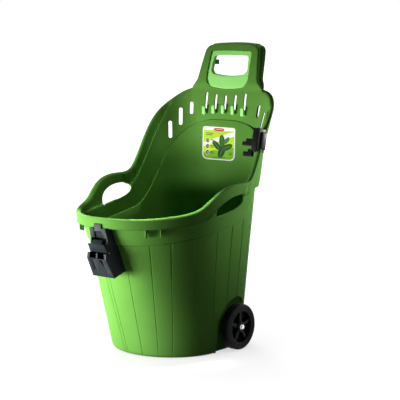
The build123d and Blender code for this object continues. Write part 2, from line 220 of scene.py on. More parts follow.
def outwardOf(outline):
    # unit normals of a closed outline in its plane, pointing out
    ahead = np.roll(outline, -1, axis=0) - np.roll(outline, 1, axis=0)
    normal = np.column_stack((ahead[:, 1], -ahead[:, 0]))
    normal /= np.maximum(np.hypot(*normal.T), 1e-9)[:, None]
    if np.sum(normal * (outline - outline.mean(axis=0))) < 0:
        normal = -normal
    return normal


def ramp(value, low, high):
    # soft step from 0 at low to 1 at high
    t = np.clip((np.asarray(value, float) - low) / (high - low), 0.0, 1.0)
    return t * t * (3.0 - 2.0 * t)


def smoothTable(table, ends=(0.0, 0.0)):
    # cubic curve through a table, with the slopes at both ends given
    x, y = np.array(table, float).T
    h, n = np.diff(x), len(x)
    left, right = np.zeros((n, n)), np.zeros(n)
    left[0, 0] = left[-1, -1] = 1.0
    right[0], right[-1] = ends
    for i in range(1, n - 1):
        left[i, i - 1], left[i, i + 1] = 1.0 / h[i - 1], 1.0 / h[i]
        left[i, i] = 2.0 / h[i - 1] + 2.0 / h[i]
        right[i] = 3.0 * ((y[i] - y[i - 1]) / h[i - 1] ** 2 + (y[i + 1] - y[i]) / h[i] ** 2)
    slope = np.linalg.solve(left, right)

    def at(q):
        q = np.clip(np.asarray(q, float), x[0], x[-1])
        k = np.clip(np.searchsorted(x, q, side="right") - 1, 0, n - 2)
        t, d = (q - x[k]) / h[k], h[k]
        return ((1 + 2 * t) * (1 - t) ** 2 * y[k] + t * (1 - t) ** 2 * d * slope[k]
                + t * t * (3 - 2 * t) * y[k + 1] + t * t * (t - 1) * d * slope[k + 1])
    return at


class Wire:
    # one output socket, with the sums that the finishes below are written in
    def __init__(self, finish, socket):
        self.finish, self.socket = finish, socket

    def sum(self, operation, *values):
        return self.finish.add("ShaderNodeMath", {"operation": operation}, dict(enumerate(values)))

    def __add__(self, other):
        return self.sum("ADD", self, other)

    def __sub__(self, other):
        return self.sum("SUBTRACT", self, other)

    def __rsub__(self, other):
        return self.sum("SUBTRACT", other, self)

    def __mul__(self, other):
        return self.sum("MULTIPLY", self, other)

    def __pow__(self, other):
        return self.sum("POWER", self, other)

    __radd__ = __add__
    __rmul__ = __mul__

    def span(self, low, high):
        # soft step from 0 at low to 1 at high
        return self.finish.add("ShaderNodeMapRange", {"interpolation_type": "SMOOTHSTEP"},
                               {0: self, 1: low, 2: high, 3: 0.0, 4: 1.0})

    def sibling(self, out):
        # another output of the same node
        return Wire(self.finish, self.socket.node.outputs[out])


class Finish:
    # node tree of one procedural material, or of the world
    def __init__(self, owner):
        owner.use_nodes = True
        self.owner, self.tree = owner, owner.node_tree
        self.tree.nodes.clear()

    def add(self, kind, settings=None, sockets=None, out=0):
        node = self.tree.nodes.new(kind)
        for key, value in (settings or {}).items():
            setattr(node, key, value)
        for key, value in (sockets or {}).items():
            if isinstance(value, Wire):
                self.tree.links.new(value.socket, node.inputs[key])
            else:
                node.inputs[key].default_value = value
        return Wire(self, node.outputs[out]) if len(node.outputs) else None

    def place(self, scale=(1, 1, 1)):
        spot = self.add("ShaderNodeTexCoord", out="Object")
        return self.add("ShaderNodeMapping", {}, {"Vector": spot, "Scale": scale})

    def noise(self, vector, scale, detail=3.0, rough=0.55):
        return self.add("ShaderNodeTexNoise", {},
                        {"Vector": vector, "Scale": scale, "Detail": detail, "Roughness": rough})

    def blend(self, share, first, second):
        return self.add("ShaderNodeMix", {"data_type": "RGBA"}, {0: share, 6: first, 7: second}, out=2)

    def bump(self, height, strength, distance):
        return self.add("ShaderNodeBump", {}, {"Strength": strength, "Distance": distance, "Height": height})

    def shade(self, tone, rough, bump, **others):
        # others are sockets whose value is the same all over
        sockets = {"Base Color": tone, "Roughness": rough, "Normal": bump, **others}
        surface = self.add("ShaderNodeBsdfPrincipled", {}, sockets)
        self.add("ShaderNodeOutputMaterial", {}, {"Surface": surface})
        return self.owner


def newFinish(name):
    return Finish(bpy.data.materials.new(name))


def rgb(red, green, blue):
    # display values 0-255 to the linear colour that a socket takes
    line = [v / 255.0 for v in (red, green, blue)]
    return tuple([v / 12.92 if v <= 0.04045 else ((v + 0.055) / 1.055) ** 2.4 for v in line] + [1.0])


moulding = {"drift": 7.0, "driftSpan": (0.3, 0.7), "driftRough": 0.10, "rubs": 46.0, "rubSpan": (0.62, 0.78),
            "rubLong": (1.0, 1.0, 0.25), "rubShare": 0.10, "rubLight": 1.35, "rubRough": 0.10, "deep": 0.0004}
plastics = {
    # name, light tone, dark tone, roughness, size of the grain, relief, gloss
    "tub": ("tubGreen", rgb(97, 150, 64), rgb(90, 142, 59), 0.55, 1100.0, 0.10, 0.012),
    "lime": ("gripLime", rgb(164, 242, 132), rgb(156, 236, 124), 0.40, 1100.0, 0.08, 0.2),
    "grey": ("holderGrey", rgb(27, 34, 36), rgb(23, 30, 32), 0.45, 1500.0, 0.14, 0.10),
    "black": ("wheelBlack", rgb(8, 9, 10), rgb(6, 7, 8), 0.42, 1500.0, 0.14, 0.08),
}
rubber = {"tone": rgb(10, 12, 13), "dustTone": rgb(30, 32, 32), "dust": 34.0, "dustSpan": (0.5, 0.8),
          "dustShare": 0.25, "dustRough": 0.18, "rough": 0.55, "skin": 900.0, "relief": 0.18, "deep": 0.0005,
          "gloss": 0.1}
metal = {"brush": (1.0, 9.0, 9.0), "lines": 420.0, "lineRough": 0.12, "spots": 160.0, "spotSpan": (0.55, 0.75),
         "spotRough": 0.18, "roughDown": 0.08, "relief": 0.08, "deep": 0.0002}
metals = {
    # name, light tone, dark tone, roughness
    "steel": ("axleSteel", rgb(186, 188, 190), rgb(150, 152, 156), 0.38),
    "cap": ("capBright", rgb(236, 238, 240), rgb(212, 214, 218), 0.24),
}


def mouldedPlastic(name, light, dark, rough, grain, relief, gloss):
    # satin moulded plastic: slow tone drift, fine grain in the skin, a few rubbed patches
    f = newFinish(name)
    spot = f.place()
    drift = f.noise(spot, moulding["drift"], 2.0)
    skin = f.noise(spot, grain, 2.0, 0.6)
    rubs = f.noise(f.place(moulding["rubLong"]), moulding["rubs"], 4.0, 0.65).span(*moulding["rubSpan"])
    rubbed = tuple(min(1.0, c * moulding["rubLight"]) for c in light[:3]) + (1.0,)
    tone = f.blend(drift.span(*moulding["driftSpan"]), dark, light)
    tone = f.blend(rubs * moulding["rubShare"], tone, rubbed)
    dull = drift * moulding["driftRough"] + rubs * moulding["rubRough"] + (rough - 0.5 * moulding["driftRough"])
    return f.shade(tone, dull, f.bump(skin, relief, moulding["deep"]), **{"Specular IOR Level": gloss})


def tyreFinish():
    # rubber with dust in its skin
    f = newFinish("tyreRubber")
    spot = f.place()
    dust = f.noise(spot, rubber["dust"], 4.0, 0.62).span(*rubber["dustSpan"])
    skin = f.noise(spot, rubber["skin"], 3.0, 0.6)
    tone = f.blend(dust * rubber["dustShare"], rubber["tone"], rubber["dustTone"])
    bump = f.bump(skin, rubber["relief"], rubber["deep"])
    dull = dust * rubber["dustRough"] + rubber["rough"]
    return f.shade(tone, dull, bump, **{"Specular IOR Level": rubber["gloss"]})


def metalFinish(name, light, dark, rough):
    # drawn metal: fine rings of brushing and a few dull spots
    f = newFinish(name)
    lines = f.noise(f.place(metal["brush"]), metal["lines"], 3.0, 0.6)
    spots = f.noise(f.place(), metal["spots"], 4.0, 0.6).span(*metal["spotSpan"])
    dull = spots * metal["spotRough"] + lines * metal["lineRough"] + (rough - metal["roughDown"])
    bump = f.bump(lines, metal["relief"], metal["deep"])
    return f.shade(f.blend(lines, dark, light), dull, bump, Metallic=1.0)


finishes = {key: mouldedPlastic(*values) for key, values in plastics.items()}
finishes["tyre"] = tyreFinish()
for key, values in metals.items():
    finishes[key] = metalFinish(*values)
print("stage: finishes made")


tub = {
    # plan at the foot, flare with height, and the back with its sweep
    "hubY": -200.0, "waistY": -229.0, "baseHalf": 170.5, "baseFront": 390.6, "sideFlare": 0.0909,
    "frontFlare": 0.314, "backLean": 0.0327, "backSweep": 0.000592, "sweepFrom": 569.0,
    "cornerBend": 56.0, "sidePull": 0.86, "flatSlopes": (0.0913, 0.05),
    "flatHalf": ((0, 9), (300, 36.4), (480, 53), (560, 62), (605, 79), (650, 99), (740, 118), (880, 126)),
    # heights over the bearing, 0 at the front and 180 at the back
    "rim": ((0, 398), (24, 398), (37, 402), (44, 406), (50, 411.5), (54.5, 419), (59, 431.5), (63, 443.5),
            (67, 454), (72, 463), (78, 469.3), (86, 472.6), (94, 473), (99.5, 475), (104, 484), (110.4, 520),
            (119.5, 590), (128, 641), (137, 675), (146, 702), (152, 712), (165, 717), (180, 718)),
    "lowLedge": ((0, 325), (19, 326.5), (30, 330), (45, 337), (63, 346), (86, 358), (102, 370), (112, 388),
                 (120, 426), (126.6, 470), (131, 506), (137, 543), (143, 572), (150, 596), (159, 614),
                 (180, 622)),
    "highLedge": ((0, 381), (30, 381), (48, 384), (64, 389), (87, 404), (96, 421), (103.5, 443),
                  (110.5, 471), (116, 505), (122, 551), (130, 612), (140, 685), (152, 745), (180, 765)),
    "wall": 3.0, "lowStep": 4.5, "highStep": 4.0, "ledgeSoft": 1.4, "stepFade": (5.0, 17.0), "highBelow": 11.0,
    # ledge sections, outside and inside: rise from the ledge, share of its step, share of the groove
    "lowOut": ((-3.4, 0.0), (-2.4, -0.25), (-1.3, -0.36), (-0.5, -0.2), (-0.1, 0.25), (0.1, 0.72), (0.5, 0.93),
               (1.4, 1.0)),
    "highOut": ((-0.5, 0.08), (-0.1, 0.3), (0.1, 0.7), (0.5, 0.92), (1.4, 1.0)),
    "highIn": ((0.5, 0.92), (0.1, 0.7), (-0.1, 0.3), (-0.5, 0.08), (-1.4, 0.0)),
    "lowIn": ((2.5, 0.0, 0.25), (1.9, 0.0, 0.9), (0.7, 0.0, 1.0), (0.15, 0.2, 0.4), (0.0, 0.6, 0.0),
              (-0.4, 0.9, 0.0), (-1.2, 1.0, 0.0)),
    "lowUnder": 4.4, "highUnder": 1.6, "lowAbove": 3.0, "lowBelow": 1.2,
    "grooveDeep": 1.7, "grooveFrom": (112.0, 132.0),
    # lip and skirt; both die out behind the back plate, and the skirt is deeper on the wings
    "lipOut": 15.2, "lipThick": 3.2, "lipRound": 8.0, "innerRound": 7.0, "roundMost": 0.48,
    "lipFade": (154.5, 158.5), "lipGone": 0.97, "skirtThick": 2.6, "skirtFall": 29.0, "skirtLeast": 7.0,
    "skirtTilt": 0.75, "skirtFlare": 0.5, "wingSkirtFoot": 450.0, "wingFrom": (96.0, 101.0),
    "wingTo": (126.0, 141.0), "wingTuck": 0.45,
    "underside": ((2.5, 16.0), (2.5, 14.0), (0.0, 11.0)), "baseRound": 13.0, "baseInset": 10.0,
    "floor": 4.0, "floorRound": 9.0, "floorIn": 26.0,
    # stave grooves by bearing, on both sides but for the one in front
    "frontStave": -6.2, "staveDeep": 1.1, "staveHalf": 1.5, "staveZ": 180.0, "stepDegrees": 0.8,
    "stepGap": 0.22, "staves": (9.5, 24.0, 36.2, 53.2, 71.8, 90.0, 107.0, 122.0, 135.0, 148.0, 163.0),
    "grip": ((-283, 401), (-279, 415), (-265, 428), (-242, 438), (-215, 443), (-188, 443), (-167, 437),
             (-160, 426), (-170, 413), (-199, 402), (-242, 394), (-270, 389), (-281, 387)),
    # wing slots: bearing, foot, head
    "wingSlots": ((136.6, 564.0, 614.0), (143.8, 602.0, 652.0), (151.2, 634.0, 670.0)),
    "wingSlotWide": 10.5, "wingSlotReach": (-330.0, -60.0),
    # webs under the rim: bearing, thickness, share of the fall at the outer edge
    "webs": ((23.2, 3.0, 0.92), (30.7, 3.0, 0.92), (96.5, 20.0, 1.0), (107.0, 3.0, 0.62)),
    "webFall": 54.0, "webHead": 5.5, "webOut": 10.5, "webProbe": 20.0, "webClear": 2.0,
    "webIn": (2.0, 3.5, 1.0),                             # how far head, inner foot and foot go into the wall
    "archRadius": 83.0, "wellIn": 150.0, "wellOut": 260.0, "wellFoot": 1.0, "trimOff": 1.2,
    "trimZ": (-5.0, 300.0), "tunnelHalf": 13.0, "tunnelShort": 12.0,
    "gripIn": 120.0, "cutOut": 290.0, "cutLow": -10.0, "boreLong": 420.0, "sharp": 32.0,
}
flatHalf = smoothTable(tub["flatHalf"], tub["flatSlopes"])
rimAt, lowAt, highAt = (smoothTable(tub[k]) for k in ("rim", "lowLedge", "highLedge"))


def backY(z):
    return tub["backLean"] * z + tub["backSweep"] * np.maximum(0.0, z - tub["sweepFrom"]) ** 2


def planSpot(t, z, off):
    # plan of the right half: t 0-1 nose ellipse, 1-2 rear corner, 2-3 flat back
    side = tub["baseHalf"] + tub["sideFlare"] * z + off
    front = -tub["baseFront"] - tub["frontFlare"] * z - off
    back, flat, waist = backY(z) + off, flatHalf(z), tub["waistY"]
    a, b, c = np.clip(t, 0, 1) * math.pi / 2, np.clip(t - 1, 0, 1), np.clip(t - 2, 0, 1)
    pull = waist + tub["sidePull"] * (back - waist)
    bx = (side * ((1 - b) ** 3 + 3 * b * (1 - b) ** 2) + (flat + tub["cornerBend"]) * 3 * b * b * (1 - b)
          + flat * b ** 3)
    by = waist * (1 - b) ** 3 + pull * 3 * b * (1 - b) ** 2 + back * (3 * b * b * (1 - b) + b ** 3)
    x = np.where(t < 1, side * np.sin(a), np.where(t < 2, bx, flat * (1 - c)))
    y = np.where(t < 1, waist - (waist - front) * np.cos(a), np.where(t < 2, by, back))
    return x, y


def findPlan(start, z, off, shortOf):
    # halves the range of t until the plan is where shortOf(x, y) turns
    low, high = start, np.full(start.shape, 3.0)
    for _ in range(34):
        t = 0.5 * (low + high)
        x, y = planSpot(t, z, off)
        short = shortOf(x, y)
        low, high = np.where(short, t, low), np.where(short, high, t)
    return x, y


def wallSpot(bearing, z, off):
    # point of the wall at a bearing from the hub line
    bearing, z, off = np.broadcast_arrays(np.asarray(bearing, float), z, off)
    want = np.abs(bearing)
    x, y = findPlan(np.zeros(bearing.shape), z, off,
                    lambda x, y: np.degrees(np.arctan2(x, tub["hubY"] - y)) < want)
    return np.copysign(x, bearing), y


def wallDepth(x, z, off):
    # depth of the back wall at a place across and a height, found behind the waist
    return findPlan(np.full(np.shape(x), 1.2), z, off, lambda wide, y: wide > np.abs(x))[1]


def wallReach(bearing, z):
    # distance of the wall from the hub line
    x, y = wallSpot(np.array([bearing]), z, 0.0)
    return math.hypot(x[0], y[0] - tub["hubY"])


def hubTurn(bearing):
    return Matrix.Translation((0, tub["hubY"], 0)) @ Matrix.Rotation(math.radians(bearing), 4, "Z")


staveMids = [tub["frontStave"]] + [side * stave for stave in tub["staves"] for side in bothSides]
staveReach = {mid: wallReach(mid, tub["staveZ"]) for mid in staveMids}


def tubBearings():
    # even steps, with closer ones across each stave groove
    marks = []
    for mid in staveMids:
        degree = math.degrees(tub["staveHalf"] / staveReach[mid])
        marks += [mid + degree * k for k in (-1.0, -0.45, 0.0, 0.45, 1.0)]
    fine = np.arange(-180.0, 180.0, tub["stepDegrees"])
    return np.array(sorted([b for b in fine if min(abs(b - m) for m in marks) > tub["stepGap"]] + marks))


def staveDip(bearing):
    dip = np.zeros(bearing.shape)
    for mid in staveMids:
        away = np.abs(np.radians(bearing - mid)) * staveReach[mid]
        dip = np.maximum(dip, 1.0 - ramp(away / tub["staveHalf"], 0.05, 1.0))
    return tub["staveDeep"] * dip


def tubRows(bearing):
    # heights and offsets of the wall section, from the underside round the rim to the floor
    q = np.abs(bearing)
    rim, low = rimAt(q), lowAt(q)
    x, y = wallSpot(bearing, rim, tub["lipRound"])
    along = np.hypot(np.gradient(x), np.gradient(y))
    slope = np.clip(np.gradient(rim) / np.maximum(along, 1e-6) * np.sign(bearing), 0.0, 3.0)
    lean, tilt = np.sqrt(1.0 + slope ** 2), 1.0 + tub["skirtTilt"] * slope
    keep = 1.0 - tub["lipGone"] * ramp(q, *tub["lipFade"])
    step = tub["highStep"] * ramp(rim - highAt(q), *tub["stepFade"])
    high = np.minimum(highAt(q), rim - tub["highBelow"] * tilt)
    wall, lowOff, soft = tub["wall"], -tub["lowStep"], tub["ledgeSoft"]
    lip = step + (tub["lipOut"] - step) * keep
    inner = lip - tub["skirtThick"] * keep
    fall = np.maximum(tub["skirtFall"] * tilt * keep, tub["skirtLeast"])
    wing = ramp(q, *tub["wingFrom"]) * (1.0 - ramp(q, *tub["wingTo"]))
    fall = fall + wing * np.maximum(rim - fall - tub["wingSkirtFoot"], 0.0)
    tuck = tub["wingTuck"] * lip * wing
    turn = np.cos(np.radians(np.minimum(q, 90.0))) ** 2
    stand = tub["skirtFlare"] * (tub["frontFlare"] * turn + tub["sideFlare"] * (1.0 - turn)) * (q < 90.0)
    thick = tub["lipThick"] * lean
    under = rim - thick
    dip = staveDip(bearing)
    rows = []

    def row(z, off):
        rows.append((z + 0.0 * q, off + 0.0 * q))

    def run(start, end, shares, off):
        for share in shares:
            row(start + (end - start) * share, off)

    def ledge(level, off, size, section):
        for rise, share in section:
            row(level + rise, off + size * share)

    foot = lowOff - tub["baseInset"]
    for z, inset in tub["underside"]:
        row(z, foot - inset)
    for k, sine, cosine in quarter(6):
        row(tub["baseRound"] * (1.0 - cosine), foot + tub["baseInset"] * sine - dip * k / 6.0)
    top, shelf = low - wall, high - wall
    run(tub["baseRound"], top - tub["lowUnder"], even(9), lowOff - dip)
    ledge(top, lowOff, tub["lowStep"], tub["lowOut"])
    run(top + soft, shelf - tub["highUnder"], even(5), 0.0)
    ledge(shelf, 0.0, step, tub["highOut"])
    run(shelf + soft, under, (0.4, 0.75, 1.0), step)
    row(under, step + 0.5 * (inner - step))
    row(under, inner)
    for k in (0.3, 0.65, 0.94):                           # inner face of the skirt, its foot, its outer face
        row(under - (fall - thick) * k, inner + (stand * fall - tuck) * k)
    for k in (0.25, 0.75):
        row(rim - fall, inner + stand * fall - tuck + k * (lip - inner))
    for k in (0.96, 0.8, 0.6, 0.42):
        row(rim - fall * k, lip + stand * fall * (k - 0.4) - tuck * k)
    edge = np.minimum(tub["lipRound"], tub["roundMost"] * (lip - step + wall))
    for _, sine, cosine in quarter(6):
        drop = edge * lean * (1.0 - sine)
        row(rim - drop, lip - edge * (1.0 - cosine) - tuck * drop / fall)
    face = step - wall
    bend = np.minimum(tub["innerRound"], tub["roundMost"] * (lip - face))
    row(rim, 0.5 * (lip - edge + face + bend))
    for _, sine, cosine in quarter(5):
        row(rim - bend * lean * (1.0 - cosine), face + bend * (1.0 - sine))
    run(rim - bend * lean, high + soft, even(4), face)
    ledge(high, -wall, step, tub["highIn"])
    run(high - soft, low + tub["lowAbove"], even(5), -wall)
    groove = tub["grooveDeep"] * ramp(q, *tub["grooveFrom"])
    for rise, share, dig in tub["lowIn"]:
        row(low + rise, -wall - tub["lowStep"] * share + groove * dig)
    base, deep = tub["floor"] + tub["floorRound"], lowOff - wall
    run(low - tub["lowBelow"], base, even(12), deep)
    for _, sine, cosine in quarter(5, 1):
        row(base - tub["floorRound"] * sine, deep - tub["floorRound"] * (1.0 - cosine))
    row(tub["floor"], deep - tub["floorIn"])
    return rows


def slotOutline(foot, head, wide, mid=0.0):
    r = 0.5 * wide
    return roundCorners([(mid - r, foot), (mid + r, foot), (mid + r, head), (mid - r, head)], [r * 0.98] * 4, 8)


def archOutline(radius, foot, steps=40):
    # half round over the axle, with legs down to the foot
    turns = [math.pi * k / steps for k in range(steps + 1)]
    arc = [(axleY + radius * math.cos(a), axleZ + radius * math.sin(a)) for a in turns]
    return arc + [(axleY - radius, foot), (axleY + radius, foot)]


def wingSlots(bm):
    for side in bothSides:
        for mid, foot, head in tub["wingSlots"]:
            made = prism(bm, slotOutline(foot, head, tub["wingSlotWide"]), *tub["wingSlotReach"])
            bmesh.ops.transform(bm, matrix=hubTurn(side * mid), verts=made)


def hullTool(off, foot, head, name):
    # closed solid of the plain tub form, used to trim
    bm = bmesh.new()
    bearing, heights = np.arange(-180.0, 180.0, 1.5), np.linspace(foot, head, 9)
    spots = [wallSpot(bearing, z, off) for z in heights]
    wrapGrid(bm, len(bearing), len(heights) - 1, lambda i, j: (spots[j][0][i], spots[j][1][i], heights[j]))
    closeEnds(bm)
    return toolFrom(bm, name)


def addWells(piece):
    # wheel wells and the axle channel, closed towards the load
    wall, well = tub["wall"], tub["wellIn"]
    bm = bmesh.new()
    prism(bm, archOutline(tub["archRadius"] + wall, tub["wellFoot"]), well - wall, tub["wellOut"], "x")
    copied = bmesh.ops.duplicate(bm, geom=bm.verts[:] + bm.edges[:] + bm.faces[:])["geom"]
    bmesh.ops.scale(bm, vec=(-1, 1, 1), verts=[g for g in copied if isinstance(g, bmesh.types.BMVert)])
    bmesh.ops.reverse_faces(bm, faces=[g for g in copied if isinstance(g, bmesh.types.BMFace)])
    wells = toolFrom(bm, "wells")
    cutPiece(wells, hullTool(-tub["lowStep"] - tub["trimOff"], *tub["trimZ"], "trim"), "INTERSECT")
    cutPiece(piece, wells, "UNION")
    bm = bmesh.new()
    tunnel = archOutline(tub["tunnelHalf"] + wall, tub["wellFoot"], 16)
    prism(bm, tunnel, -well + 0.5 * wall, well - 0.5 * wall, "x")
    cutPiece(piece, toolFrom(bm, "channel"), "UNION")
    print("stage: wheel wells")


def addWebs(piece):
    # flat ribs under the rim; the head keeps below the lip where the rim climbs
    bm = bmesh.new()
    out, fall = tub["webOut"], tub["webFall"]
    headIn, footIn, footOut = tub["webIn"]
    for side in bothSides:
        for bearing, thick, lead in tub["webs"]:
            rimZ = float(rimAt(bearing))
            reach = wallReach(bearing, rimZ - tub["webProbe"])
            climb = abs(float(rimAt(bearing + 1.0) - rimAt(bearing - 1.0))) / (2.0 * math.radians(1.0) * reach)
            head = rimZ - tub["webHead"] - climb * (tub["webClear"] + 0.5 * thick)
            across = [(-reach - out, head), (-reach + headIn, head), (-reach + footIn, rimZ - fall),
                      (-reach + footOut, rimZ - fall), (-reach - out, rimZ - lead * fall)]
            made = prism(bm, across, -0.5 * thick, 0.5 * thick, "x")
            bmesh.ops.transform(bm, matrix=hubTurn(side * bearing), verts=made)
    cutPiece(piece, toolFrom(bm, "webs"), "UNION")


def makeTub():
    bearing = tubBearings()
    rows = tubRows(bearing)
    spots = [wallSpot(bearing, z, off) for z, off in rows]
    bm = bmesh.new()
    wrapGrid(bm, len(bearing), len(rows) - 1,
             lambda i, j: (spots[j][0][i], spots[j][1][i], rows[j][0][i]))
    closeEnds(bm)
    piece = pieceFrom(bm, "tubWall", finishes["tub"])
    print("stage: tub wall", len(piece.data.polygons), "faces")
    addWells(piece)
    addWebs(piece)

    # hand holes, wheel arches, wing slots, tunnel and axle bore
    bm = bmesh.new()
    arch = archOutline(tub["archRadius"], tub["cutLow"])
    for outline, near in ((closedCurve(tub["grip"], 6), tub["gripIn"]), (arch, tub["wellIn"])):
        for side in bothSides:
            prism(bm, outline, *sorted((side * near, side * tub["cutOut"])), "x")
    wingSlots(bm)
    reach = tub["wellIn"] - tub["tunnelShort"]
    prism(bm, archOutline(tub["tunnelHalf"], tub["cutLow"], 16), -reach, reach, "x")
    made = bmesh.ops.create_cone(bm, cap_ends=True, segments=40, radius1=boreRadius, radius2=boreRadius,
                                 depth=tub["boreLong"])["verts"]
    bmesh.ops.rotate(bm, cent=(0, 0, 0), matrix=Matrix.Rotation(math.radians(90), 3, "Y"), verts=made)
    bmesh.ops.translate(bm, vec=(0, axleY, axleZ), verts=made)
    cutPiece(piece, toolFrom(bm, "cuts"))
    smoothShade(piece, tub["sharp"])
    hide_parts("tub_shell")
    print("stage: tub cut", len(piece.data.polygons), "faces")
    return piece


tubPiece = makeTub()

# back plate with the handle and its flange; depths are from the back line, less is further to the front
plate = {
    "creaseHalf": 121.0, "creaseFoot": 597.0, "creaseApex": 622.0, "neckHalf": 128.0, "neckZ": 713.0,
    "sideFoot": (109.0, 738.0), "sideTop": (94.0, 838.0), "top": 845.5, "topHalf": 77.0,
    "corners": (0, 20.0, 30.0, 22.0), "points": 420, "spine": (660.0, 790.0),
    "front": -3.6, "proud": 6.5, "rear": 0.6, "flange": 3.0, "edgeRound": 4.5, "plateRound": 0.5,
    "frameRise": (703.0, 735.0), "flangeRise": (713.0, 815.5), "flangeFoot": 19.0, "flangeHead": 28.0,
    "flangeSoft": 0.6, "flangeMid": 0.55, "flangeIn": 0.5, "grooveDeep": 2.6,
    # groove round the handle's side: share of the depth, share of the groove
    "groove": ((0.80, 0.0), (0.62, 0.05), (0.50, 0.35), (0.40, 0.85), (0.30, 1.0), (0.18, 0.85), (0.08, 0.35),
               (0.0, 0.1)),
    "rearShares": (0.03, 0.25, 0.5, 0.75, 0.95),
    "frontShares": (0.985, 0.95, 0.88, 0.78, 0.64, 0.5, 0.36, 0.22, 0.1, 0.03),
    # latch hook from the flange to the opening: plan and heights
    "hook": ((-99.5, -3.0), (-78.5, -3.0), (-78.5, 8.2), (-57.0, 8.2), (-57.0, 17.0), (-99.5, 17.0)),
    "hookZ": (781.0, 795.0),
    "slotPitch": 35.0, "slotFoot": 640.0, "slotHead": 693.0, "slotArch": 1.75, "footArch": 1.2, "slotWide": 8.5,
    "cutDeep": (-80.0, 260.0), "sharp": 40.0,
}
insert = {
    # half width, foot, top, spread and lift of the lower corners, bow of the top, corner radii
    "outer": (73.0, 712.0, 821.0, 3.0, 9.0, 1.5, (24.0, 9.0)),
    "opening": (61.0, 750.0, 807.0, 4.0, 7.0, 1.0, (13.0, 8.0)),
    "points": 320, "midZ": 775.0, "proud": 2.0, "rear": 7.5, "edgeRound": 1.6, "openRound": 2.6, "crown": 0.15,
    "bodyIn": 3.8, "fit": 0.1, "faceGap": 0.05, "faceEdge": 0.3, "cutGrow": 0.7, "ribIn": 6.6,
    "rearSoft": 0.8, "pocket": 0.5, "sharp": 36.0,
    "snap": ((2.6, 3.2), (3.0, 2.8)),                     # out and depth of the edge behind the plate
}
fiveSlots = range(-2, 3)


def bowed(outline, right, footMid, topMid):
    # bows the foot and top edges of a rounded outline
    footX, footZ = right[0]
    topX, topZ = right[-1]
    bent = []
    for x, z in outline:
        foot = (footMid - footZ) * max(0.0, 1.0 - (x / footX) ** 2)
        head = (topMid - topZ) * max(0.0, 1.0 - (x / topX) ** 2)
        w = min(1.0, max(0.0, (z - footZ) / (topZ - footZ)))
        bent.append((x, z + foot * (1.0 - w) ** 3 + head * w ** 3))
    return np.array(bent)


def backSpots(rows):
    # row of (across, height, depth) to points on the back line
    def spot(i, j):
        x, height, depth = (a[i] for a in rows[j])
        return x, float(backY(height)) + depth, height
    return spot


def plateOutline():
    right = [(plate["creaseHalf"], plate["creaseFoot"]), (plate["neckHalf"], plate["neckZ"]),
             plate["sideFoot"], plate["sideTop"]]
    left, radii = mirrored(right), plate["corners"]
    foot = arcThrough(left[-1], plate["creaseApex"], right[0], 40)
    head = arcThrough(right[-1], plate["top"], left[0], 24)
    sides = roundCorners(right + left, radii + radii[::-1], 10)
    half = len(sides) // 2
    crown = [p for p in head if abs(p[0]) < plate["topHalf"]]
    return evenOutline(foot[1:-1] + sides[:half] + crown + sides[half:], plate["points"])


def makePlate():
    edge = plateOutline()
    out, z = outwardOf(edge), edge[:, 1]
    rear, flange, soft, front = plate["rear"], plate["flange"], plate["flangeSoft"], plate["front"]
    up = ramp(z, *plate["frameRise"])                     # 0 on the plate, 1 on the handle
    tall = ramp(z, *plate["flangeRise"])
    deep = rear + up * (plate["flangeFoot"] + (plate["flangeHead"] - plate["flangeFoot"]) * tall - rear)
    bend = plate["plateRound"] + (plate["edgeRound"] - plate["plateRound"]) * up
    spine = np.column_stack((np.zeros(len(z)), np.clip(z, *plate["spine"])))
    rows = []

    def row(inset, depth, share=1.0):
        spot = spine + (edge - out * np.reshape(inset + 0.0 * z, (-1, 1)) - spine) * share
        rows.append((spot[:, 0], spot[:, 1], depth + 0.0 * z))

    for share in plate["rearShares"]:
        row(flange, rear, share)
    for inset, depth in ((flange, rear), (flange, rear + plate["flangeMid"] * (deep - rear)),
                         (flange, deep - plate["flangeIn"]), (flange - soft, deep), (soft, deep),
                         (0.0, deep - soft)):
        row(inset, depth)
    groove = plate["grooveDeep"] * up
    lead = front - plate["proud"] * up + bend             # the handle frame stands proud of the plate
    for share, dig in plate["groove"]:
        row(groove * dig, lead + share * (deep - lead))
    for _, sine, cosine in quarter(6, 1):
        row(bend * (1.0 - cosine), lead - bend * sine)
    for share in plate["frontShares"]:
        mid = ramp(spine[:, 1] + (z - spine[:, 1]) * share, *plate["frameRise"])
        row(bend, front - plate["proud"] * mid, share)
    bm = bmesh.new()
    wrapGrid(bm, len(z), len(rows) - 1, backSpots(rows))
    closeEnds(bm)
    piece = pieceFrom(bm, "backPlate", finishes["tub"])

    # seat of the insert and the five slots, which also pass through the wall behind
    bm = bmesh.new()
    prism(bm, insertLine("outer", insert["cutGrow"]), *plate["cutDeep"])
    for k in fiveSlots:
        head = plate["slotHead"] + plate["slotArch"] * k * k
        foot = plate["slotFoot"] - plate["footArch"] * k * k
        prism(bm, slotOutline(foot, head, plate["slotWide"], k * plate["slotPitch"]), *plate["cutDeep"])
    twin = toolFrom(bm.copy(), "wallCuts")
    wingSlots(bm)
    cutPiece(piece, toolFrom(bm, "plateCuts"), folded=True)
    cutPiece(tubPiece, twin)
    bm = bmesh.new()
    bm.from_mesh(piece.data)
    foot, head = plate["hookZ"]
    back = float(backY(0.5 * (foot + head)))
    made = prism(bm, [(x, back + y) for x, y in plate["hook"]], foot, head, axis="z")
    bmesh.ops.transform(bm, matrix=toFrame, verts=made)
    bm.to_mesh(piece.data)
    bm.free()
    smoothShade(piece, plate["sharp"])
    smoothShade(tubPiece, tub["sharp"])


def insertLine(which, grow=0.0):
    half, foot, top, spread, lift, bow, radii = insert[which]
    right = [(half + spread, foot + lift), (half, top)]
    corners = roundCorners(right + mirrored(right), radii + radii[::-1], 12)
    loop = bowed(evenOutline(corners, insert["points"]), right, foot, top + bow)
    return loop + outwardOf(loop) * grow


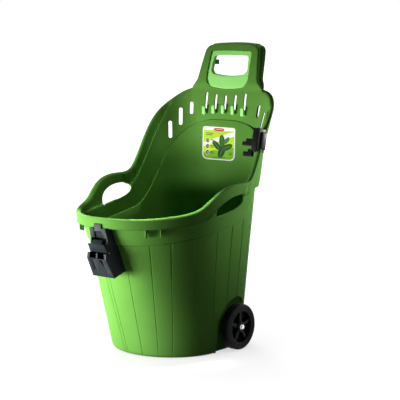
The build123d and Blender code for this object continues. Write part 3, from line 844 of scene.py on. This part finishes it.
def makeInsert():
    # lime frame that clips into the handle: proud border, deep inner wall round the opening
    outer, inner = insertLine("outer"), insertLine("opening")
    outN, inN = outwardOf(outer), outwardOf(inner)
    aim, turn = (np.arctan2(line[:, 0], line[:, 1] - insert["midZ"]) for line in (outer, inner))
    start = int(np.argmin(np.abs(np.angle(np.exp(1j * (turn - aim[0]))))))
    inner, inN = np.roll(inner, -start, axis=0), np.roll(inN, -start, axis=0)
    face, rear = plate["front"] - insert["faceGap"], insert["rear"]
    front = face - insert["proud"]
    edge, bend, fit, body = insert["edgeRound"], insert["openRound"], insert["fit"], insert["bodyIn"]
    rows = []

    def row(line, depth):
        rows.append((line[:, 0], line[:, 1], np.full(len(line), depth)))

    row(outer - outN * body, rear)
    row(outer - outN * body, insert["snap"][0][1])
    for out, depth in insert["snap"] + ((insert["snap"][-1][0], plate["rear"]), (-fit, plate["rear"])):
        row(outer + outN * out, depth)
    row(outer - outN * fit, face)
    row(outer, face - insert["faceEdge"])
    for _, sine, cosine in quarter(4, 1):
        row(outer - outN * edge * (1.0 - cosine), front + edge - edge * sine)
    for share in (0.25, 0.5, 0.75):
        across = inner + inN * bend - outer + outN * edge
        row(outer - outN * edge + across * share, front + insert["crown"] * math.sin(math.pi * share))
    for _, sine, cosine in quarter(5):
        row(inner + inN * bend * (1.0 - sine), front + bend * (1.0 - cosine))
    for share in (0.35, 0.7, 1.0):
        row(inner, front + bend + (rear - bend - insert["rearSoft"] - front) * share)
    row(inner + inN * insert["rearSoft"], rear)
    row(inner + inN * bend, rear)
    row(inner + inN * bend, insert["pocket"])
    row(outer - outN * insert["ribIn"], insert["pocket"])
    row(outer - outN * insert["ribIn"], rear)
    bm = bmesh.new()
    wrapGrid(bm, insert["points"], len(rows), backSpots(rows), ring=True)
    bmesh.ops.recalc_face_normals(bm, faces=bm.faces)
    piece = pieceFrom(bm, "gripInsert", finishes["lime"], sharp=insert["sharp"])
    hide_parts("handle_grip")


makePlate()
makeInsert()
print("stage: back plate and grip")

# lime tool pegs, on one bar behind the plate
pegs = {
    "wide": 12.5, "tall": 25.0, "thick": 6.0, "edge": 2.9, "sunk": 0.5, "out": 4.5, "rise": 3.0, "arch": 1.3,
    "stemWide": 7.9, "stemTall": 9.0, "stemDeep": 9.0, "stemEdge": 1.6, "stemLift": 0.2,
    "barTall": 16.0, "barThick": 4.0, "barPast": 18.0, "barGap": 1.1, "barEdge": 1.2, "sharp": 40.0,
}


def makePegs():
    bm = bmesh.new()
    out, thick = pegs["out"], pegs["thick"]
    mid = plate["slotFoot"] + pegs["stemLift"] + 0.5 * pegs["stemTall"]
    slope = tub["backLean"] + 2.0 * tub["backSweep"] * (mid - tub["sweepFrom"])
    y = float(backY(mid))
    front = y + plate["front"] - out
    for k in fiveSlots:
        x = k * plate["slotPitch"]
        lift = pegs["arch"] * (4 - k * k)
        softBox(bm, (pegs["stemWide"], out + pegs["stemDeep"], pegs["stemTall"]), (x, y - 0.5 * out, mid),
                pegs["stemEdge"])
        softBox(bm, (pegs["wide"], thick, pegs["tall"]),
                (x, front - 0.5 * thick + pegs["sunk"], mid + pegs["rise"] + lift), pegs["edge"], 4)
    softBox(bm, (4 * plate["slotPitch"] + pegs["barPast"], pegs["barThick"], pegs["barTall"]),
            (0.0, y + plate["rear"] + pegs["barGap"] + 0.5 * pegs["barThick"], mid), pegs["barEdge"],
            turn=Matrix.Rotation(-math.atan(slope), 3, "X"))
    bmesh.ops.recalc_face_normals(bm, faces=bm.faces)
    piece = pieceFrom(bm, "toolPegs", finishes["lime"], sharp=pegs["sharp"])
    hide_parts("peg_comb")


makePegs()
print("stage: tool pegs")

# wheels: places along the axle, radii
wheel = {
    "radius": 64.0, "wide": 28.0, "out": 193.5, "seat": 50.0, "shoulder": 6.0, "shoulderTurn": (0.2, 1.57, 6),
    "segments": 128, "treadIn": 9.0, "treadHalf": 1.4, "treadFoot": 1.0, "treadDeep": 1.6, "tyreSharp": 42.0,
    "hub": 15.0, "hubIn": 160.0, "hubOut": 192.0, "hubRecess": 9.6, "webIn": 171.0, "web": 4.0,
    "rimRing": 6.0, "rimInset": 2.5, "sharp": 40.0,
    "spokes": 5, "spokeOut": 188.5, "spokeWide": 9.5, "spokeFoot": 11.0, "spokeHead": 47.0, "spokeEdge": 1.6,
    "spokeTaper": (1.18, 0.36), "cap": 6.3, "capOut": 199.0, "capDome": 3.4, "capSegments": 64,
}


def spinProfile(bm, profile, segments):
    # closed section (along the axle, radius) turned once about the axle line
    verts = [bm.verts.new((x, 0.0, r)) for x, r in profile]
    edges = [bm.edges.new((verts[k], verts[(k + 1) % len(verts)])) for k in range(len(verts))]
    bmesh.ops.spin(bm, geom=verts + edges, cent=(0, 0, 0), axis=(1, 0, 0), angle=2.0 * math.pi,
                   steps=segments, use_merge=True)
    bmesh.ops.remove_doubles(bm, verts=bm.verts, dist=1e-4)
    bmesh.ops.recalc_face_normals(bm, faces=bm.faces)


def tyreProfile():
    low, high, top, soft = wheel["out"] - wheel["wide"], wheel["out"], wheel["radius"], wheel["shoulder"]
    seat, half, foot, turns = wheel["seat"], wheel["treadHalf"], wheel["treadFoot"], wheel["shoulderTurn"]
    bends = [(soft * (1 - math.cos(a)), top - soft + soft * math.sin(a)) for a in np.linspace(*turns)]
    line = [(low, seat), (low, seat + 3.0), (low, top - soft)] + [(low + x, r) for x, r in bends]
    for mid in (low + wheel["treadIn"], 0.5 * (low + high), high - wheel["treadIn"]):
        floor = top - wheel["treadDeep"]
        line += [(mid - half, top), (mid - foot, floor), (mid + foot, floor), (mid + half, top)]
    line += [(high - x, r) for x, r in reversed(bends)]
    return line + [(high, top - soft), (high, top - soft - 1.2), (high - 0.7, top - soft - 1.8),
                   (high - 0.7, seat + 3.0), (high, seat + 2.4), (high, seat + 0.6), (high - 0.6, seat)]


def wheelProfile():
    low, high = wheel["out"] - wheel["wide"] + wheel["rimInset"], wheel["out"] - wheel["rimInset"] + 1.5
    outer, ring = wheel["seat"] - 0.1, wheel["seat"] - 0.1 - wheel["rimRing"]
    webIn, webOut = wheel["webIn"], wheel["webIn"] + wheel["web"]
    hub, hubIn, hubOut, bore = wheel["hub"], wheel["hubIn"], wheel["hubOut"], boreRadius
    return [(hubIn, bore), (hubIn, hub - 0.8), (hubIn + 0.8, hub), (webIn - 1.5, hub), (webIn, hub + 1.5),
            (webIn, ring - 1.5), (webIn - 1.5, ring), (low + 0.8, ring), (low, ring + 0.8), (low, outer - 0.6),
            (low + 0.6, outer), (high - 1.0, outer), (high - 0.3, outer - 0.4), (high, outer - 1.2),
            (high, ring + 1.4), (high - 0.5, ring + 0.5), (high - 1.4, ring), (webOut + 2.0, ring - 0.6),
            (webOut + 0.6, ring - 1.2), (webOut, ring - 2.6), (webOut, hub + 2.6), (webOut + 0.8, hub + 1.0),
            (webOut + 2.4, hub + 0.2), (hubOut - 2.2, hub), (hubOut - 0.7, hub - 0.7), (hubOut, hub - 2.2),
            (hubOut, wheel["hubRecess"]), (hubOut - 1.2, 9.0), (hubOut - 1.2, bore)]


def capProfile():
    low, out, r, dome = wheel["hubOut"] + 0.4, wheel["capOut"], wheel["cap"], wheel["capDome"]
    flange = [(low, boreRadius), (low, r + 0.9), (low + 0.5, r + 1.2), (low + 1.0, r + 0.9), (low + 1.3, r)]
    bend = [(out - dome + dome * math.sin(a), r * math.cos(a) ** 0.8) for a in np.linspace(0.0, 1.5, 9)]
    return flange + bend + [(out, 0.02), (out - 2.0, 0.02), (out - 2.0, boreRadius)]


def addSpokes(bm):
    # soft bars from the hub to the rim, narrower outwards
    foot, span = wheel["spokeFoot"], wheel["spokeHead"] - wheel["spokeFoot"]
    start, end = wheel["webIn"] + 0.5 * wheel["web"], wheel["spokeOut"]
    wide, narrow = wheel["spokeTaper"]
    for k in range(wheel["spokes"]):
        made = softBox(bm, (end - start, wheel["spokeWide"], span),
                       (0.5 * (end + start), 0.0, 0.5 * (wheel["spokeHead"] + foot)), wheel["spokeEdge"])
        for v in made:
            v.co.y *= wide - narrow * (v.co.z - foot) / span
        turn = Matrix.Rotation(2 * math.pi * k / wheel["spokes"], 3, "X")
        bmesh.ops.rotate(bm, cent=(0, 0, 0), matrix=turn, verts=made)


def onAxle(bm, name, finish, body, sharp, side):
    flip = Matrix.Scale(side, 4, (1, 0, 0))
    place = toFrame @ Matrix.Translation((0.0, axleY, wheel["radius"])) @ flip
    piece = pieceFrom(bm, name, finishes[finish], body, sharp, place)
    if side < 0:
        piece.data.flip_normals()                         # a mirrored mesh has its faces turned back
    return piece


def bodyOf(node):
    return next(b for b, members in frame["record"]["behaviour"]["bodies"].items() if node in members)


def makeWheel(side, name):
    low = name.lower()
    bm = bmesh.new()
    spinProfile(bm, tyreProfile(), wheel["segments"])
    piece = onAxle(bm, "tyre" + name, "tyre", "wheel_" + low, wheel["tyreSharp"], side)
    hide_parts("tyre_" + low)
    bm = bmesh.new()
    spinProfile(bm, wheelProfile(), wheel["segments"])
    addSpokes(bm)
    piece = onAxle(bm, "wheel" + name, "black", "wheel_" + low, wheel["sharp"], side)
    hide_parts("wheel_" + low)
    bm = bmesh.new()
    spinProfile(bm, capProfile(), wheel["capSegments"])
    piece = onAxle(bm, "axleCap" + name, "cap", bodyOf("axle_cap_" + low), wheel["sharp"], side)
    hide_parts("axle_cap_" + low)


makeWheel(1.0, "Right")
makeWheel(-1.0, "Left")
print("stage: wheels")

# holder: the solid's own form with its edges softened and two grooves in its lower box
holder = {"body": 0.9, "flap": 0.8, "hard": 28.0, "flat": 1.0, "sharp": 30.0,
          "grooves": (-17.0, 17.0), "grooveHalf": 0.6,
          "grooveSide": ((-534.3, 285.4), (-531.7, 286.8), (-505.5, 238.5), (-508.1, 237.0))}
clip = {"spot": (0.0, -94.0, 583.0), "tilt": 12.0, "sharp": 40.0,
        # body, then fingers: from x, to x, front, rear, low, high, edge in the clip's own tilted frame
        "parts": ((192.0, 212.0, -12.0, 26.0, -33.0, 33.0, 3.0), (205.0, 216.5, 2.0, 25.0, -26.0, 24.0, 3.0),
                  (158.5, 194.0, -9.0, 1.0, -18.0, -7.0, 1.6), (169.5, 194.0, -9.0, 1.0, -12.0, 2.0, 1.6),
                  (165.0, 190.0, -9.0, 1.0, -47.5, -34.5, 1.6), (180.0, 196.0, -9.0, 1.0, -47.5, -27.0, 1.6))}
keptSolids = {"axle": "steel", "spacer_right": "black", "spacer_left": "black", "holder_pin": "black"}


def softCopy(node, name, body, bevel):
    bm = bmesh.new()
    bm.from_mesh(frame["nodes"][node].data)
    bmesh.ops.remove_doubles(bm, verts=bm.verts, dist=1e-6)
    bmesh.ops.dissolve_limit(bm, angle_limit=math.radians(holder["flat"]), verts=bm.verts, edges=bm.edges)
    hard = math.radians(holder["hard"])
    edges = [e for e in bm.edges if e.is_manifold and e.calc_face_angle(0.0) > hard]
    bmesh.ops.bevel(bm, geom=edges, offset=0.001 * bevel, offset_type="OFFSET", segments=3, profile=0.5,
                    affect="EDGES", material=-1, clamp_overlap=True)
    bmesh.ops.triangulate(bm, faces=[f for f in bm.faces if len(f.verts) > 4])
    piece = pieceFrom(bm, name, finishes["grey"], body, holder["sharp"], asMade)
    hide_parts(node)
    return piece


def makeHolder():
    piece = softCopy("holder_body", "holderBody", "cart", holder["body"])
    bm = bmesh.new()
    half = holder["grooveHalf"]
    for middle in holder["grooves"]:
        prism(bm, holder["grooveSide"], middle - half, middle + half, "x")
    cutPiece(piece, toolFrom(bm, "holderGrooves"))
    smoothShade(piece, holder["sharp"])
    softCopy("holder_flap", "holderFlap", "flap", holder["flap"])


def makeClip():
    bm = bmesh.new()
    for left, right, front, rear, low, high, edge in clip["parts"]:
        softBox(bm, (right - left, rear - front, high - low),
                (0.5 * (left + right), 0.5 * (front + rear), 0.5 * (low + high)), edge)
    tilt = Matrix.Rotation(math.radians(-clip["tilt"]), 4, "X")
    place = toFrame @ Matrix.Translation(clip["spot"]) @ tilt
    piece = pieceFrom(bm, "wingClip", finishes["black"], sharp=clip["sharp"], place=place)
    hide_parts("wing_clip")


makeHolder()
makeClip()
for node, finish in keptSolids.items():
    solid = frame["nodes"][node]
    solid.data.materials.clear()
    solid.data.materials.append(finishes[finish])
print("stage: holder and clip")

# label on the inside of the back; its print is in shares of the sheet
label = {
    "left": -72.0, "right": 47.0, "foot": 505.0, "head": 601.0, "footRound": 16.0, "headRound": 6.4,
    "thick": 0.35, "off": -7.5, "lift": 0.12, "columns": 48, "rows": 40, "sharp": 40.0,
    "tones": {"field": (228, 246, 44), "fieldTop": (178, 224, 40), "hill": (128, 190, 36),
              "sweep": (254, 255, 250), "vein": (86, 140, 58), "ring": (238, 244, 214), "disc": (52, 84, 40),
              "eye": (196, 220, 90), "bar": (70, 92, 48), "edge": (254, 255, 252), "red": (206, 40, 62),
              "pink": (232, 150, 158)},
    # hill and sweep: slope, foot, waviness, soft lower and upper edge
    "hill": (0.22, 0.0, -0.16, (0.10, 0.14)), "sweep": (0.38, 0.44, 0.12, (-0.02, 0.0), (0.12, 0.14)),
    # leaves: middle, length, turn, tone
    "leaves": ((0.60, 0.28, 0.22, 70.0, (24, 66, 24)), (0.75, 0.40, 0.19, 26.0, (30, 84, 28)),
               (0.44, 0.44, 0.18, 132.0, (26, 74, 26)), (0.60, 0.58, 0.19, 92.0, (36, 96, 30)),
               (0.74, 0.60, 0.13, 52.0, (52, 118, 36))),
    "leafSlim": 0.46, "veinLong": 0.9, "veinWide": 0.010,
    # discs: heights, then place across, width, height and tone of each layer
    "discs": (0.22, 0.40, 0.58),
    "discLayers": ((0.16, 0.062, 0.074, "ring"), (0.16, 0.050, 0.060, "disc"), (0.17, 0.022, 0.022, "eye")),
    # bars: middle, half length
    "bars": ((0.29, 0.24, 0.05), (0.30, 0.20, 0.06), (0.29, 0.42, 0.05), (0.30, 0.38, 0.06),
             (0.29, 0.60, 0.05), (0.22, 0.80, 0.12), (0.20, 0.75, 0.10), (0.86, 0.24, 0.06),
             (0.86, 0.19, 0.05), (0.50, 0.08, 0.22)),
    # ovals on the head band: middle, half width, half height, squareness, tone
    "headOvals": ((0.5, 0.925, 0.17, 0.055, 2, "red"), (0.5, 0.93, 0.12, 0.016, 4, "pink")),
    "barHalf": 0.011, "headBand": (0.885, 0.9), "border": (0.56, 0.66), "rough": 0.40, "gloss": 0.08,
    "grain": 900.0, "relief": 0.05, "deep": 0.0002,
}


def labelFinish():
    # generic garden print: pale border, lime field, a sprig, three discs and rows of short bars
    f = newFinish("labelPrint")
    sheet = f.add("ShaderNodeUVMap", {"uv_map": "sheet"})
    u = f.add("ShaderNodeSeparateXYZ", {}, {0: sheet})
    v = u.sibling(1)
    wave = f.noise(sheet, 3.0, 2.0)
    tones = {key: rgb(*tone) for key, tone in label["tones"].items()}

    def oval(midU, midV, wide, tall, degrees=0.0, power=2):
        c, d = math.cos(math.radians(degrees)), math.sin(math.radians(degrees))
        across, along = (u - midU) * c + (v - midV) * d, (v - midV) * c - (u - midU) * d
        return 1.0 - ((across * (1.0 / wide)) ** power + (along * (1.0 / tall)) ** power).span(0.85, 1.15)

    tone = f.blend(v.span(0.0, 0.9), tones["field"], tones["fieldTop"])
    slope, foot, waves, edge = label["hill"]
    tone = f.blend(1.0 - (v - u * slope - foot + wave * waves).span(*edge), tone, tones["hill"])
    slope, foot, waves, edge, head = label["sweep"]
    sweep = v - u * slope - foot + wave * waves
    tone = f.blend(sweep.span(*edge) * (1.0 - sweep.span(*head)), tone, tones["sweep"])
    for midU, midV, long, degrees, leafTone in label["leaves"]:
        leaf = oval(midU, midV, long, label["leafSlim"] * long, degrees)
        vein = oval(midU, midV, label["veinLong"] * long, label["veinWide"], degrees)
        tone = f.blend(leaf, tone, rgb(*leafTone))
        tone = f.blend(leaf * vein, tone, tones["vein"])
    for midV in label["discs"]:
        for midU, wide, tall, key in label["discLayers"]:
            tone = f.blend(oval(midU, midV, wide, tall), tone, tones[key])
    for midU, midV, long in label["bars"]:
        tone = f.blend(oval(midU, midV, long, label["barHalf"], 0.0, 4), tone, tones["bar"])
    tone = f.blend(v.span(*label["headBand"]), tone, tones["edge"])
    for midU, midV, wide, tall, power, key in label["headOvals"]:
        tone = f.blend(oval(midU, midV, wide, tall, 0.0, power), tone, tones[key])
    edgeU, edgeV = u * 2.0 - 1.0, v * 2.0 - 1.0
    tone = f.blend((edgeU ** 8 + edgeV ** 8).span(*label["border"]), tone, tones["edge"])
    bump = f.bump(f.noise(f.place(), label["grain"], 2.0), label["relief"], label["deep"])
    return f.shade(tone, wave * 0.08 + label["rough"], bump, **{"Specular IOR Level": label["gloss"]})


def makeLabel():
    left, foot, head = label["left"], label["foot"], label["head"]
    wide, tall = label["right"] - left, head - foot
    columns, rows = label["columns"], label["rows"]
    bm = bmesh.new()

    def spot(i, j):
        z, cut = foot + tall * j / rows, 0.0
        for radius, away in ((label["footRound"], z - foot), (label["headRound"], head - z)):
            inset = max(0.0, radius - away)
            cut = max(cut, radius - math.sqrt(max(0.0, radius * radius - inset * inset)))
        x = left + cut + (wide - 2 * cut) * i / columns
        y = float(wallDepth(np.array(x), np.array(z), label["off"]))
        return x, y - label["lift"], z

    wrapGrid(bm, columns, rows, spot, closed=False)
    layer = bm.loops.layers.uv.new("sheet")
    for loop in (loop for face in bm.faces for loop in face.loops):
        loop[layer].uv = ((loop.vert.co.x - left) / wide, (loop.vert.co.z - foot) / tall)
    bmesh.ops.recalc_face_normals(bm, faces=bm.faces)
    if sum(f.normal.y for f in bm.faces) > 0:
        bmesh.ops.reverse_faces(bm, faces=bm.faces)
    bmesh.ops.solidify(bm, geom=bm.faces[:], thickness=label["thick"])
    piece = pieceFrom(bm, "backLabel", labelFinish(), sharp=label["sharp"])


makeLabel()
print("stage: label")

# floor, light and camera, in metres but for the spots that lamps aim at
studio = {
    "floorSize": 30.0, "floorTone": 0.30, "bounceTone": 0.11, "floorGlow": 0.62, "glowSpan": (0.5, 1.7),
    "worldLight": 0.012, "sunFar": 3.0,
    # suns: power, softness, azimuth, height; the floor's sun lights the floor alone
    "floorSun": (3.4, 100.0, 0.0, 90.0),
    "suns": {"edge": (0.35, 12.0, 170.0, 15.0), "back": (1.4, 16.0, 236.0, 50.0)},
    # panels: light at the spot aimed at, azimuth, distance, height, width, tall, spot, spread
    "panels": {"key": (12.6, -34.0, 1.10, 0.18, 0.95, 0.36, (0.0, -240.0, 200.0), 88.0),
               "left": (1.7, -95.0, 1.15, 0.30, 0.70, 0.50, (0.0, -240.0, 200.0), 88.0),
               "right": (4.8, 160.0, 1.20, 0.62, 0.30, 0.20, (200.0, -250.0, 485.0), 34.0)},
    # strips: light on the rim below, middle, height, width, depth, turn
    "strips": {"rimFront": (6.5, (-24.0, -490.0), 0.86, 0.32, 0.06, 0.0),
               "rimNear": (5.0, (178.0, -390.0), 0.86, 0.05, 0.20, -32.0),
               "ledgeFar": (1.6, (-188.0, -215.0), 0.86, 0.04, 0.34, -4.0)},
    "stripSpread": 12.0, "stripBlur": 0.04,
    "lens": 127.55, "sensor": 36.0, "cameraSpot": (2.4960, -3.2551, 0.9323), "cameraDown": 7.5437,
    "cameraTurn": 38.287,
}
black, white = (0.0, 0.0, 0.0, 1.0), (1.0, 1.0, 1.0, 1.0)


def seenDirectly(f):
    # 1 for rays that show the background itself, in glass and metal too
    path = f.add("ShaderNodeLightPath", out="Is Camera Ray")
    glossy, through = path.sibling("Is Glossy Ray"), path.sibling("Is Transmission Ray")
    return path.sum("MAXIMUM", path, glossy.sum("MAXIMUM", glossy, through))


def makeFloor():
    # pale to the eye and darker for bounced light, with a glow that turns white far out
    bm = bmesh.new()
    bmesh.ops.create_grid(bm, x_segments=2, y_segments=2, size=studio["floorSize"])
    f = newFinish("paleFloor")
    seen = seenDirectly(f)
    pale, dim = (f.add("ShaderNodeBsdfDiffuse", {}, {"Color": (tone, tone, tone, 1.0)})
                 for tone in (studio["floorTone"], studio["bounceTone"]))
    matte = f.add("ShaderNodeMixShader", {}, {0: seen, 1: dim, 2: pale})
    far = f.add("ShaderNodeVectorMath", {"operation": "LENGTH"}, {0: f.place()}, out="Value")
    fade = far.span(*studio["glowSpan"]) * (1.0 - studio["floorGlow"]) + studio["floorGlow"]
    glow = f.add("ShaderNodeEmission", {}, {"Color": f.blend(seen * fade, black, white), "Strength": 1.0})
    both = f.add("ShaderNodeAddShader", {}, {0: matte, 1: glow})
    f.add("ShaderNodeOutputMaterial", {}, {"Surface": both})
    floor = pieceFrom(bm, "floor", f.owner, None, place=asMade)
    linked = sunLamp("floorLamp", *studio["floorSun"]).light_linking
    linked.receiver_collection = bpy.data.collections.new("floorOnly")
    linked.receiver_collection.objects.link(floor)


def makeWorld():
    scene.world = bpy.data.worlds.new("studioWorld")
    f = Finish(scene.world)
    strength = seenDirectly(f) * (1.0 - studio["worldLight"]) + studio["worldLight"]
    glow = f.add("ShaderNodeBackground", {}, {"Color": white, "Strength": strength})
    f.add("ShaderNodeOutputWorld", {}, {"Surface": glow})


def inScene(name, data):
    made = bpy.data.objects.new(name, data)
    scene.collection.objects.link(made)
    return made


def sunLamp(name, power, soft, azimuth, height):
    lamp = bpy.data.lights.new(name, "SUN")
    lamp.energy, lamp.angle = power, math.radians(soft)
    a, e = math.radians(azimuth), math.radians(height)
    aim = Vector((math.sin(a) * math.cos(e), -math.cos(a) * math.cos(e), math.sin(e)))
    placed = inScene(name, lamp)
    placed.location, placed.rotation_euler = aim * studio["sunFar"], aim.to_track_quat("Z", "Y").to_euler()
    return placed


def areaLamp(name, wide, tall, energy, spread):
    lamp = bpy.data.lights.new(name, "AREA")
    lamp.shape, lamp.size, lamp.size_y = "RECTANGLE", wide, tall
    lamp.energy, lamp.spread = energy, spread
    return inScene(name, lamp)


def panelLamp(name, light, azimuth, far, height, wide, tall, spot, spread):
    # soft panel round the cart, its power set by the light at the spot it is aimed at
    half = math.radians(0.5 * spread)
    energy = light * math.pi * far * far * (1.0 - half / math.tan(half))
    placed = areaLamp(name, wide, tall, energy, 2.0 * half)
    a, middle = math.radians(azimuth), toFrame @ Vector(spot)
    placed.location = (middle.x + far * math.sin(a), middle.y - far * math.cos(a), height)
    placed.rotation_euler = (placed.location - middle).to_track_quat("Z", "Y").to_euler()


def stripLamp(name, light, middle, height, wide, deep, turn):
    # narrow beam straight down on the rim
    blur, spread = studio["stripBlur"], math.radians(studio["stripSpread"])
    placed = areaLamp(name, wide, deep, light * (wide + blur) * (deep + blur), spread)
    placed.location = (0.001 * middle[0], yShift + 0.001 * middle[1], height)
    placed.rotation_euler = (0.0, 0.0, math.radians(turn))


def makeCamera():
    data = bpy.data.cameras.new("photoCamera")
    data.lens, data.sensor_width = studio["lens"], studio["sensor"]
    camera = inScene("photoCamera", data)
    x, y, z = studio["cameraSpot"]
    camera.location = (x, yShift + y, z)
    camera.rotation_euler = (math.radians(90.0 - studio["cameraDown"]), 0.0, math.radians(studio["cameraTurn"]))
    scene.camera = camera


makeFloor()
makeWorld()
for kind, makeLamp in (("panels", panelLamp), ("strips", stripLamp), ("suns", sunLamp)):
    for lampName, values in studio[kind].items():
        makeLamp(lampName + "Lamp", *values)
makeCamera()
scene.view_settings.view_transform = "Standard"
print("stage: studio")
